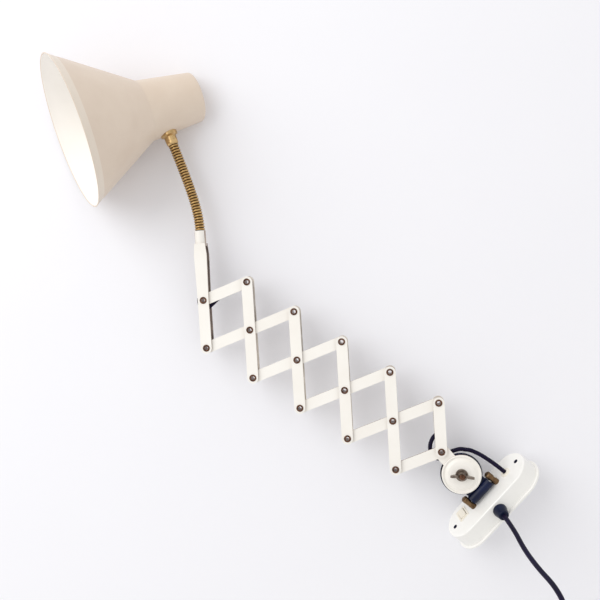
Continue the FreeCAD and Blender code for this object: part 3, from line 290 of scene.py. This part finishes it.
def finish_enamel(tree, shader, mottle, smooth, dull, coat, coat_roughness=0.15):
    """A fine orange-peel surface, roughness between two levels, and a clear coat."""
    peel = add_noise(tree, PEEL_SCALE, 2)
    add_bump(tree, shader, peel.outputs["Fac"], PEEL_STRENGTH)
    add_roughness(tree, shader, mottle.outputs["Fac"], smooth, dull)
    shader.inputs["Coat Weight"].default_value = coat
    shader.inputs["Coat Roughness"].default_value = coat_roughness


def enamel(name, light, dark, rough=0.32, coat=0.25):
    """Sprayed enamel with slight mottling."""
    material, tree, shader = new_material(name)
    mottle = add_noise(tree, MOTTLE_SCALE)
    ramp = ramp_from(tree, mottle.outputs["Fac"], ((0.35, dark), (0.65, light)))
    tree.links.new(ramp.outputs["Color"], shader.inputs["Base Color"])
    finish_enamel(tree, shader, mottle, rough - SMOOTHER, rough + DULLER, coat)
    return material


def metal(name, light, dark, rough=0.34, scale=160):
    """Plain metal with tarnish blotches and fine wear."""
    material, tree, shader = new_material(name)
    tarnish = add_noise(tree, scale, 6, 0.65)
    ramp = ramp_from(tree, tarnish.outputs["Fac"], ((0.36, dark), (0.62, light)))
    tree.links.new(ramp.outputs["Color"], shader.inputs["Base Color"])
    add_roughness(tree, shader, tarnish.outputs["Fac"], rough + 0.14, rough - 0.08)
    grain = add_noise(tree, 1400, 3)
    add_bump(tree, shader, grain.outputs["Fac"], 0.1)
    shader.inputs["Metallic"].default_value = 1
    return material


def plastic(name, light, dark, rough=0.4, scale=60, bump=0.1, specular=0.5):
    """Moulded plastic, or paint as even as plastic, with faint clouds."""
    material, tree, shader = new_material(name)
    cloud = add_noise(tree, scale)
    ramp = ramp_from(tree, cloud.outputs["Fac"], ((0.35, dark), (0.65, light)))
    tree.links.new(ramp.outputs["Color"], shader.inputs["Base Color"])
    fine = add_noise(tree, 1200, 3)
    add_bump(tree, shader, fine.outputs["Fac"], bump)
    add_roughness(tree, shader, cloud.outputs["Fac"], rough - SMOOTHER, rough + DULLER)
    shader.inputs["Specular IOR Level"].default_value = specular
    return material


def opal_glass(name):
    """Milky glass that scatters light just under its surface."""
    material, tree, shader = new_material(name)
    cloud = add_noise(tree, 40)
    stops = ((0.3, (0.86, 0.85, 0.81)), (0.7, (0.93, 0.92, 0.89)))
    ramp = ramp_from(tree, cloud.outputs["Fac"], stops)
    tree.links.new(ramp.outputs["Color"], shader.inputs["Base Color"])
    add_roughness(tree, shader, cloud.outputs["Fac"], 0.08, 0.14)
    shader.inputs["Subsurface Weight"].default_value = 0.3
    shader.inputs["Subsurface Radius"].default_value = GLASS_SCATTER_METRES
    shader.inputs["Coat Weight"].default_value = 0.6
    return material


def arm_enamel(name, rear_shade_dark, rear_shade_light):
    """Cream enamel with painted shade: brown side walls, which also stand for edge wear, and a
    darker back layer.
    """
    material, tree, shader = new_material(name)
    mottle = add_noise(tree, MOTTLE_SCALE)
    face_stops = ((0.35, (0.905, 0.872, 0.810)), (0.65, (0.935, 0.910, 0.855)))
    face = ramp_from(tree, mottle.outputs["Fac"], face_stops)
    wall_and_rear_mottle = add_noise(tree, 70, 5)
    # Painted shade: brown on the side walls, partly edge wear, and darker on the back layer.
    wall_shade_stops = ((0.38, (0.240, 0.160, 0.115)), (0.62, (0.520, 0.420, 0.340)))
    wall = ramp_from(tree, wall_and_rear_mottle.outputs["Fac"], wall_shade_stops)
    rear_shade = ramp_from(tree, wall_and_rear_mottle.outputs["Fac"], ((0.38, rear_shade_dark), (0.64, rear_shade_light)))
    place = tree.nodes.new("ShaderNodeTexCoord")
    facing = math_result(tree, "ABSOLUTE", reach_along_bolt(tree, place.outputs["Normal"]))
    is_wall = math_result(tree, "LESS_THAN", facing, WALL_FACING_LIMIT)
    rear_limit = DISC.dot(BOLT_AXIS) - REAR_LAYER_DEPTH_METRES
    depth = reach_along_bolt(tree, place.outputs["Object"])
    is_rear = math_result(tree, "LESS_THAN", depth, rear_limit)
    wall_shaded = mix_colours(tree, is_wall, face.outputs["Color"], wall.outputs["Color"])
    rear_shaded = mix_colours(tree, is_rear, wall_shaded, rear_shade.outputs["Color"])
    tree.links.new(rear_shaded, shader.inputs["Base Color"])
    finish_enamel(tree, shader, mottle, 0.28, 0.42, 0.2, 0.2)
    return material


def base_enamel(name, light, dark):
    """Ivory enamel, with painted shade inside the two wall screw holes."""
    material, tree, shader = new_material(name)
    mottle = add_noise(tree, MOTTLE_SCALE)
    face = ramp_from(tree, mottle.outputs["Fac"], ((0.35, dark), (0.65, light)))
    place = tree.nodes.new("ShaderNodeTexCoord")
    split = tree.nodes.new("ShaderNodeSeparateXYZ")
    tree.links.new(place.outputs["Object"], split.inputs["Vector"])
    height = math_result(tree, "ABSOLUTE", split.outputs["Z"])
    offset = math_result(tree, "SUBTRACT", height, WALL_HOLE_SPACING / 2 * MM)
    across = tree.nodes.new("ShaderNodeCombineXYZ")
    tree.links.new(split.outputs["X"], across.inputs["X"])
    tree.links.new(offset, across.inputs["Y"])
    away = tree.nodes.new("ShaderNodeVectorMath")
    away.operation = "LENGTH"
    tree.links.new(across.outputs["Vector"], away.inputs[0])
    hole_radius = WALL_HOLE_RADIUS * MM * WALL_HOLE_MARGIN
    in_hole = math_result(tree, "LESS_THAN", away.outputs["Value"], hole_radius)
    # Painted shade on the walls of the two screw holes.
    hole_shade = tree.nodes.new("ShaderNodeRGB")
    hole_shade.outputs[0].default_value = HOLE_SHADE_COLOUR
    colour = mix_colours(tree, in_hole, face.outputs["Color"], hole_shade.outputs[0])
    tree.links.new(colour, shader.inputs["Base Color"])
    finish_enamel(tree, shader, mottle, 0.27, 0.40, 0.25)
    return material


# The two colours after each name are the back layer's painted shade: pale brown on the bars, dark
# brown on the fork.
arm_paint = arm_enamel("arm_enamel", (0.580, 0.515, 0.440), (0.820, 0.770, 0.700))
fork_paint = arm_enamel("fork_enamel", (0.110, 0.080, 0.065), (0.300, 0.235, 0.200))
base_paint = base_enamel("base_enamel", (0.930, 0.922, 0.890), (0.905, 0.896, 0.858))
shade_paint = enamel("shade_enamel", (0.765, 0.648, 0.530), (0.730, 0.608, 0.492), 0.42, 0.1)
shade_band_paint = enamel("shade_band_enamel", (0.830, 0.740, 0.630), (0.800, 0.705, 0.595),
                          0.4, 0.1)
shade_lining = enamel("shade_lining", (0.940, 0.902, 0.845), (0.920, 0.880, 0.824), 0.45, 0.05)
aged_brass = metal("aged_brass", (0.215, 0.135, 0.072), (0.105, 0.062, 0.034))
hose_brass = metal("hose_brass", (0.680, 0.450, 0.190), (0.400, 0.245, 0.095), 0.24, 220)
hose_valley = metal("hose_valley", (0.130, 0.070, 0.026), (0.062, 0.032, 0.012), 0.45, 220)
ferrule_brass = metal("ferrule_brass", (0.730, 0.510, 0.245), (0.440, 0.285, 0.125), 0.26, 200)
dark_brass = metal("dark_brass", (0.190, 0.095, 0.060), (0.062, 0.030, 0.019), 0.3, 300)
nickel = metal("worn_nickel", (0.300, 0.250, 0.210), (0.150, 0.118, 0.098), 0.3, 260)
steel = metal("plated_steel", (0.620, 0.600, 0.560), (0.420, 0.400, 0.370), 0.28)
navy_paint = plastic("navy_enamel", (0.006, 0.012, 0.050), (0.003, 0.006, 0.026), 0.24,
                     specular=0.25)
sheath = plastic("cable_sheath", (0.010, 0.007, 0.030), (0.006, 0.004, 0.018), 0.45,
                 specular=0.12)
navy_plastic = plastic("navy_plastic", (0.006, 0.011, 0.038), (0.004, 0.007, 0.022), 0.3,
                       specular=0.18)
ivory_plastic = plastic("ivory_plastic", (0.880, 0.835, 0.735), (0.850, 0.795, 0.685), 0.3)
white_plastic = plastic("holder_plastic", (0.830, 0.810, 0.760), (0.800, 0.780, 0.720), 0.35)
fibre = plastic("washer_fibre", (0.030, 0.028, 0.030), (0.018, 0.016, 0.018), 0.7, 200, 0.3)
bulb_glass = opal_glass("opal_glass")

NODE_MATERIALS = {
    "back_plate": base_paint, "base_cover": base_paint, "hinge_posts": aged_brass,
    "post_nuts": aged_brass, "hinge_pin": steel, "cable_bush": ivory_plastic,
    "cord_gland": navy_plastic, "switch_housing": ivory_plastic, "switch_rocker": ivory_plastic,
    "terminal_block": white_plastic, "cord_tie": fibre, "plug_body": navy_plastic,
    "plug_pins": aged_brass, "swivel_bracket": navy_paint, "friction_washer": fibre,
    "clamp_bolt": dark_brass, "disc_arm": arm_paint, "nut_washer": nickel, "wing_nut": nickel,
    "end_fork": fork_paint, "ferrule": ferrule_brass, "ferrule_nut": aged_brass,
    "holder_bracket": steel, "lampholder": white_plastic, "bulb_cap": steel,
    "bulb_glass": bulb_glass, "shade": shade_paint}


def material_of(name):
    """A node's material: named singly, by its family, or the cable's sheath."""
    if name in NODE_MATERIALS:
        return NODE_MATERIALS[name]
    if name.startswith("rivets"):
        return dark_brass
    if name.startswith("gooseneck"):
        return hose_brass
    if "bar" in name:
        return arm_paint
    return sheath


def dress_nodes():
    for name, node in nodes.items():
        node.data.materials.clear()
        node.data.materials.append(material_of(name))


# ---------------------------------------------------------------- mesh helpers

def new_piece(name, mesh_builder, materials):
    """A smooth piece from a function that fills its mesh."""
    mesh = bpy.data.meshes.new(name)
    build = bmesh.new()
    mesh_builder(build)
    bmesh.ops.recalc_face_normals(build, faces=build.faces)
    build.to_mesh(mesh)
    build.free()
    for material in materials:
        mesh.materials.append(material)
    for polygon in mesh.polygons:
        polygon.use_smooth = True
    return add_object(name, mesh)


def join_rings(build, rings, slots):
    """Faces between rings of vertices; slots gives each band's material."""
    for band in range(len(rings) - 1):
        count = len(rings[band])
        for index in range(count):
            after = (index + 1) % count
            face = build.faces.new((rings[band][index], rings[band][after],
                                    rings[band + 1][after], rings[band + 1][index]))
            face.material_index = slots[band]


def ring_at(build, centre, first, second, radius, count):
    """A ring of vertices round a centre, in the plane of two directions."""
    ring = []
    for index in range(count):
        angle = 2 * math.pi * index / count
        offset = first * math.cos(angle) + second * math.sin(angle)
        ring.append(build.verts.new((centre + offset * radius) * MM))
    return ring


# ---------------------------------------------------------------- gooseneck

NECK_START = 75.8
NECK_SEGMENTS = ((6, 9.4), (6, 5.6), (6, 2.2), (6, 1.0), (6, 0.2))
NECK_JOINTS = ("neck_bend_1", "neck_side_1", "neck_bend_2", "neck_side_2")
NECK_GAP = 2.4
RIB_PITCH = 3.0
RIB_TRIM = 0.1
RIB_PEAK = 5.5
RIB_VALLEY = 4.4
RIB_FULLNESS = 0.6
HOSE_SIDES = 40
HOSE_STEPS_PER_RIB = 10
VALLEY_STEPS = (0, 1, 8, 9)
TUBE_LAYER = -0.15
NO_TURN = 1e-6


def arc_chord(length, bend, turned):
    """The chord of an arc that bends so much over its length, up to where it has turned so far."""
    return 2 * length / math.radians(bend) * math.sin(math.radians(turned) / 2)


def neck_arcs():
    """The gooseneck's arcs as (start, heading, turn, length), in millimetres and degrees."""
    pivot = joint_point("pivot_middle_0") / MM
    at = pivot + arm_vector(OUTER_LINE_ELEVATION) * NECK_START + BOLT_AXIS * TUBE_LAYER
    heading = OUTER_LINE_ELEVATION
    arcs = []
    last = len(NECK_SEGMENTS) - 1
    for index, (ribs, bend) in enumerate(NECK_SEGMENTS):
        ends = (index > 0) + (index < last)
        length = ribs * RIB_PITCH - RIB_TRIM * RIB_PITCH + ends * NECK_GAP / 2
        arcs.append((at, heading, bend, length))
        at = at + arm_vector(heading - bend / 2) * arc_chord(length, bend, bend)
        heading -= bend
    return arcs


def neck_place(arcs, distance):
    """The point and heading this far along the gooseneck."""
    for index, (at, heading, bend, length) in enumerate(arcs):
        if distance <= length or index == len(arcs) - 1:
            break
        distance -= length
    turned = bend * distance / length
    if abs(turned) < NO_TURN:
        return at, heading
    return at + arm_vector(heading - turned / 2) * arc_chord(length, bend, turned), heading - turned


def make_hose():
    """The ribbed hose, in four lengths that each hold one of its joints."""
    arcs = neck_arcs()
    lengths = [arc[3] for arc in arcs]
    total = sum(lengths)
    ribs = round(total / RIB_PITCH)
    step = total / ribs / HOSE_STEPS_PER_RIB
    joint_distances = [sum(lengths[:index + 1]) for index in range(len(NECK_JOINTS))]
    splits = [0]
    for before, after in zip(joint_distances, joint_distances[1:]):
        splits.append(round((before + after) / 2 / total * ribs))
    splits.append(ribs)
    for index, name in enumerate(NECK_JOINTS):
        first = splits[index] * HOSE_STEPS_PER_RIB
        last = splits[index + 1] * HOSE_STEPS_PER_RIB

        def build_hose(build):
            rings = []
            for number in range(first, last + 1):
                centre, heading = neck_place(arcs, number * step)
                wave = 0.5 - 0.5 * math.cos(2 * math.pi * number / HOSE_STEPS_PER_RIB)
                radius = RIB_VALLEY + (RIB_PEAK - RIB_VALLEY) * wave ** RIB_FULLNESS
                upward = arm_vector(heading + 90)
                rings.append(ring_at(build, centre, upward, BOLT_AXIS, radius, HOSE_SIDES))
            in_valley = [number % HOSE_STEPS_PER_RIB in VALLEY_STEPS
                         for number in range(first, last)]
            join_rings(build, rings, in_valley)
            build.faces.new(rings[0])
            build.faces.new(rings[-1])

        piece = new_piece("hose_" + str(index + 1), build_hose, [hose_brass, hose_valley])
        place, heading = neck_place(arcs, joint_distances[index])
        covered = ["gooseneck_" + str(index + 1)]
        if name == NECK_JOINTS[-1]:
            covered.append("gooseneck_5")
        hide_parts(*covered)
        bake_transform(piece)


# ---------------------------------------------------------------- arm cable

# The bends of the arm cable are in metres.
SWIVEL_BEND = (Vector((0, -0.024, 0.0315)), Vector((-0.006, -0.044, 0.029)))
DISC_BEND_RADIUS = 0.028
DISC_BEND_ELEVATIONS = (140, 45)
MIDDLE_BEND_BELOW = 0.008
MIDDLE_BEND_PAST = 0.010
LONGEST_EDGE = 0.004
SAME_PLACE = 1e-6
DIVIDING_ROUNDS = 5
MOST_CORNERS = 4
SINGLE_BENDS = 3
DOUBLE_BENDS = 5


def drop_small_parts(build):
    """Keep only the largest connected part, as a cut's plane can meet the cable's far end too."""
    seen = set()
    parts = []
    for first in build.verts:
        if first in seen:
            continue
        seen.add(first)
        part = [first]
        for vert in part:  # the list grows as its neighbours are found
            for edge in vert.link_edges:
                other = edge.other_vert(vert)
                if other not in seen:
                    seen.add(other)
                    part.append(other)
        parts.append(part)
    parts.sort(key=len)
    small = [vert for part in parts[:-1] for vert in part]
    bmesh.ops.delete(build, geom=small, context="VERTS")


def keep_one_side(build, point, normal):
    """Cut the cable across, keep what lies along the normal, and close the cut."""
    everything = build.verts[:] + build.edges[:] + build.faces[:]
    cut = bmesh.ops.bisect_plane(build, geom=everything, plane_co=point, plane_no=normal,
                                 clear_inner=True)
    drop_small_parts(build)
    left = [part for part in cut["geom_cut"] if part.is_valid]
    rim = [part for part in left if isinstance(part, bmesh.types.BMEdge)]
    bmesh.ops.contextual_create(build, geom=rim)


def cable_mesh(name, source, cut_at=None, keep=1):
    """A copy of a cable node's mesh with short edges, or the part of it on one side of a cut."""
    mesh = source.data.copy()
    mesh.name = name
    build = bmesh.new()
    build.from_mesh(mesh)
    bmesh.ops.remove_doubles(build, verts=build.verts, dist=SAME_PLACE)
    if cut_at:
        point, normal = cut_at
        keep_one_side(build, point, normal * keep)
    for _ in range(DIVIDING_ROUNDS):
        long_edges = [edge for edge in build.edges if edge.calc_length() > LONGEST_EDGE]
        if long_edges:
            bmesh.ops.subdivide_edges(build, edges=long_edges, cuts=1)
            wide_faces = [face for face in build.faces if len(face.verts) > MOST_CORNERS]
            bmesh.ops.triangulate(build, faces=wide_faces)
    build.to_mesh(mesh)
    build.free()
    return mesh


def make_cable_piece(name, covered, mesh):
    """One length of the arm cable, in place of its node."""
    for polygon in mesh.polygons:
        polygon.use_smooth = True
    piece = add_object(name, mesh)
    mesh.materials.clear()
    mesh.materials.append(sheath)
    if covered:
        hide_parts(covered)
    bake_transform(piece)


def make_single_bends():
    """The first three lengths, at the swivel, the disc and the first middle pivot, copied whole
    from their nodes.
    """
    middle = joint_point("pivot_middle_5")
    disc_start, disc_end = [DISC + arm_vector(elevation) * DISC_BEND_RADIUS
                            for elevation in DISC_BEND_ELEVATIONS]
    middle_end = middle + arm_vector(OUTER_LINE_ELEVATION) * MIDDLE_BEND_PAST
    bends = (("swivel", *SWIVEL_BEND),
             ("tilt", disc_start, disc_end),
             ("pivot_middle_5", middle - UP * MIDDLE_BEND_BELOW, middle_end))
    for index, (joint_name, start, end) in enumerate(bends):
        node = "arm_cable_" + str(index)
        mesh = cable_mesh("arm_lead_" + str(index), nodes[node])
        make_cable_piece(mesh.name, node, mesh)


def make_double_bends():
    """The other five lengths, each cut in two between a top pivot and a middle one."""
    inner_line = arm_vector(INNER_LINE_ELEVATION)
    for index in range(DOUBLE_BENDS):
        number = index + SINGLE_BENDS
        node = "arm_cable_" + str(number)
        top_name = "pivot_top_" + str(5 - index) if index else "extend"
        top = joint_point(top_name)
        low_name = "pivot_middle_" + str(4 - index)
        low = joint_point(low_name)
        cut_at = ((top + low) / 2, inner_line)
        upper = cable_mesh("arm_lead_%d_upper" % number, nodes[node], cut_at, -1)
        lower = cable_mesh("arm_lead_%d_lower" % number, nodes[node], cut_at, 1)
        make_cable_piece(upper.name, node, upper)
        make_cable_piece(lower.name, None, lower)


# ---------------------------------------------------------------- shade

SHADE_WALL = 1.2
SHADE_RIM_RADIUS = 81.8
SHADE_CONE_LENGTH = 83
SHADE_NECK_RADIUS = 33.2
SHADE_NECK_LENGTH = 62.5
SHADE_END_RADIUS = 27.3
SHADE_CORNER = 3.5
SHADE_CORNER_STEPS = 6
SHADE_CONE_STEPS = 8
SHADE_POLE_RADIUS = 0.5
FERRULE_TO_CONE = 17.3
FERRULE_LENGTH = 13
HEAD_ROLL = 28.4
SHADE_BAND = 8
SHADE_SIDES = 128
OUTSIDE, BAND, LINING = 0, 1, 2

# Each row is a step in radius and height from the edge that it belongs to, with its material.
CREASE_NECK_ROWS = ((-0.35, -3.0, OUTSIDE), (-0.05, -0.5, OUTSIDE))
CREASE_CONE_STEPS = (0.5, 2.5)
BAND_EDGE_ROWS = ((-0.5, -0.4, OUTSIDE), (-0.1, 0.2, BAND))
RIM_ROWS = ((-0.9, -1.4, BAND), (0, -0.4, BAND), (-0.6, 0, OUTSIDE), (-1.5, -0.6, OUTSIDE),
            (-2.0, -1.8, LINING))
BAND_BACK_ROWS = ((-1.6, 0.6, LINING),)
CREASE_LINING_ROWS = ((0.6, 0.8, LINING), (0, -1.2, LINING))


def head_frame():
    """The head's origin on the shade's axis, and its reach, side and opening directions."""
    arcs = neck_arcs()
    end, heading = neck_place(arcs, sum(arc[3] for arc in arcs))
    slope = (SHADE_NECK_RADIUS - SHADE_END_RADIUS) / SHADE_NECK_LENGTH
    seat_radius = SHADE_NECK_RADIUS - slope * FERRULE_TO_CONE
    reach = arm_vector(heading)
    origin = end + reach * (FERRULE_LENGTH + seat_radius)
    down = arm_vector(heading - 90)
    roll = math.radians(HEAD_ROLL)
    opening = down * math.cos(roll) + BOLT_AXIS * math.sin(roll)
    return origin, reach, opening.cross(reach), opening


def rows_from(radius, height, steps):
    """Rows at these steps from an edge of the shade."""
    return [(radius + outward, height + along, slot) for outward, along, slot in steps]


def shade_profile():
    """Radius, height and material for each ring of the shade, from its closed end and back."""
    closed = FERRULE_TO_CONE - SHADE_NECK_LENGTH
    rim = FERRULE_TO_CONE + SHADE_CONE_LENGTH
    slope = (SHADE_RIM_RADIUS - SHADE_NECK_RADIUS) / SHADE_CONE_LENGTH
    band_low = rim - SHADE_BAND
    band_radius = SHADE_RIM_RADIUS - slope * SHADE_BAND
    rows = [(SHADE_POLE_RADIUS, closed, OUTSIDE), (SHADE_END_RADIUS * 0.5, closed, OUTSIDE)]
    for step in range(SHADE_CORNER_STEPS + 1):
        angle = math.radians(90 / SHADE_CORNER_STEPS * step)
        rows.append((SHADE_END_RADIUS - SHADE_CORNER * (1 - math.sin(angle)),
                     closed + SHADE_CORNER * (1 - math.cos(angle)), OUTSIDE))
    rows += rows_from(SHADE_NECK_RADIUS, FERRULE_TO_CONE, CREASE_NECK_ROWS)
    for past in CREASE_CONE_STEPS:
        rows.append((SHADE_NECK_RADIUS + slope * past, FERRULE_TO_CONE + past, OUTSIDE))
    for step in range(1, SHADE_CONE_STEPS):
        part = step / SHADE_CONE_STEPS
        rows.append((SHADE_NECK_RADIUS + (band_radius - SHADE_NECK_RADIUS) * part,
                     FERRULE_TO_CONE + (band_low - FERRULE_TO_CONE) * part, OUTSIDE))
    rows += rows_from(band_radius, band_low, BAND_EDGE_ROWS)
    rows += rows_from(SHADE_RIM_RADIUS, rim, RIM_ROWS)
    rows += rows_from(band_radius, band_low, BAND_BACK_ROWS)
    rows += rows_from(SHADE_NECK_RADIUS - SHADE_WALL, FERRULE_TO_CONE, CREASE_LINING_ROWS)
    rows.append((SHADE_END_RADIUS - SHADE_WALL, closed + SHADE_CORNER, LINING))
    rows.append((SHADE_END_RADIUS - SHADE_CORNER, closed + SHADE_WALL, LINING))
    rows.append((SHADE_POLE_RADIUS, closed + SHADE_WALL, LINING))
    return rows


def make_shade():
    """The shade's thin shell, with its turned band at the rim and its pale lining."""
    origin, reach, side, opening = head_frame()
    rows = shade_profile()

    def build_shade(build):
        rings = []
        for radius, height, _ in rows:
            centre = origin + opening * height
            rings.append(ring_at(build, centre, reach, side, radius, SHADE_SIDES))
        join_rings(build, rings, [row[2] for row in rows[1:]])
        build.faces.new(rings[0])
        last = build.faces.new(rings[-1])
        last.material_index = LINING

    shade = new_piece("shade_shell", build_shade, [shade_paint, shade_band_paint, shade_lining])
    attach(shade, "head")
    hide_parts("shade")


# ---------------------------------------------------------------- backdrop and light

# The places and sizes of the backdrop and the lamp are in metres.
BACKDROP_BEHIND = 0.0355
BACKDROP_LEAN = 0.0132
BACKDROP_HALF = 4.0
BACKDROP_CORNERS = ((-1, -1), (1, -1), (1, 1), (-1, 1))
PAPER_STOPS = ((0.3, (0.885, 0.885, 0.92)), (0.7, (0.90, 0.90, 0.93)))
LIT_POINT_OUTWARD = 0.25
KEY_FORWARD = 1.30
KEY_UP = 0.85
KEY_LEFT = 1.25
KEY_SIZE = 2.2
KEY_WATTS = 20
SURROUND_COLOUR = (1.0, 0.99, 0.985, 1)
SURROUND_STRENGTH = 0.82


def backdrop_paper():
    """Pale matte paper that is seen from its front and clear from behind."""
    material, tree, shader = new_material("backdrop_paper")
    paper = add_noise(tree, 3)
    ramp = ramp_from(tree, paper.outputs["Fac"], PAPER_STOPS)
    tree.links.new(ramp.outputs["Color"], shader.inputs["Base Color"])
    shader.inputs["Roughness"].default_value = 0.9
    shader.inputs["Specular IOR Level"].default_value = 0.1
    geometry = tree.nodes.new("ShaderNodeNewGeometry")
    clear = tree.nodes.new("ShaderNodeBsdfTransparent")
    mix = tree.nodes.new("ShaderNodeMixShader")
    tree.links.new(geometry.outputs["Backfacing"], mix.inputs["Fac"])
    tree.links.new(shader.outputs["BSDF"], mix.inputs[1])
    tree.links.new(clear.outputs["BSDF"], mix.inputs[2])
    tree.links.new(mix.outputs["Shader"], tree.nodes["Material Output"].inputs["Surface"])
    return material


def make_backdrop():
    """A large pale surface just behind the arm's plane."""
    normal = (BOLT_AXIS - OUTWARD * BACKDROP_LEAN).normalized()
    along = OUTWARD - normal * OUTWARD.dot(normal)
    along.normalize()
    across = normal.cross(along)
    centre = DISC - BOLT_AXIS * BACKDROP_BEHIND
    corners = []
    for x, y in BACKDROP_CORNERS:
        corners.append(centre + along * (x * BACKDROP_HALF) + across * (y * BACKDROP_HALF))
    mesh = bpy.data.meshes.new("backdrop")
    mesh.from_pydata([tuple(c) for c in corners], [], [(0, 1, 2, 3)])
    backdrop = add_object("backdrop", mesh)
    mesh.materials.append(backdrop_paper())


def make_light():
    """One broad lamp from the picture's upper left and a soft even surround."""
    target = DISC + OUTWARD * LIT_POINT_OUTWARD
    place = target + BOLT_AXIS * KEY_FORWARD + PICTURE_UP * KEY_UP - PICTURE_RIGHT * KEY_LEFT
    data = bpy.data.lights.new("key", "AREA")
    data.shape = "DISK"
    data.size = KEY_SIZE
    data.energy = KEY_WATTS
    lamp = add_object("key", data)
    lamp.location = place
    lamp.rotation_mode = "QUATERNION"
    lamp.rotation_quaternion = (target - place).to_track_quat("-Z", "Y")
    world = bpy.data.worlds.new("surround")
    world.use_nodes = True
    background = world.node_tree.nodes["Background"]
    background.inputs["Color"].default_value = SURROUND_COLOUR
    background.inputs["Strength"].default_value = SURROUND_STRENGTH
    bpy.context.scene.world = world


make_camera()
make_lead()
dress_nodes()
make_single_bends()
make_double_bends()
make_hose()
make_shade()
make_backdrop()
make_light()
bpy.context.scene.view_settings.view_transform = "Standard"
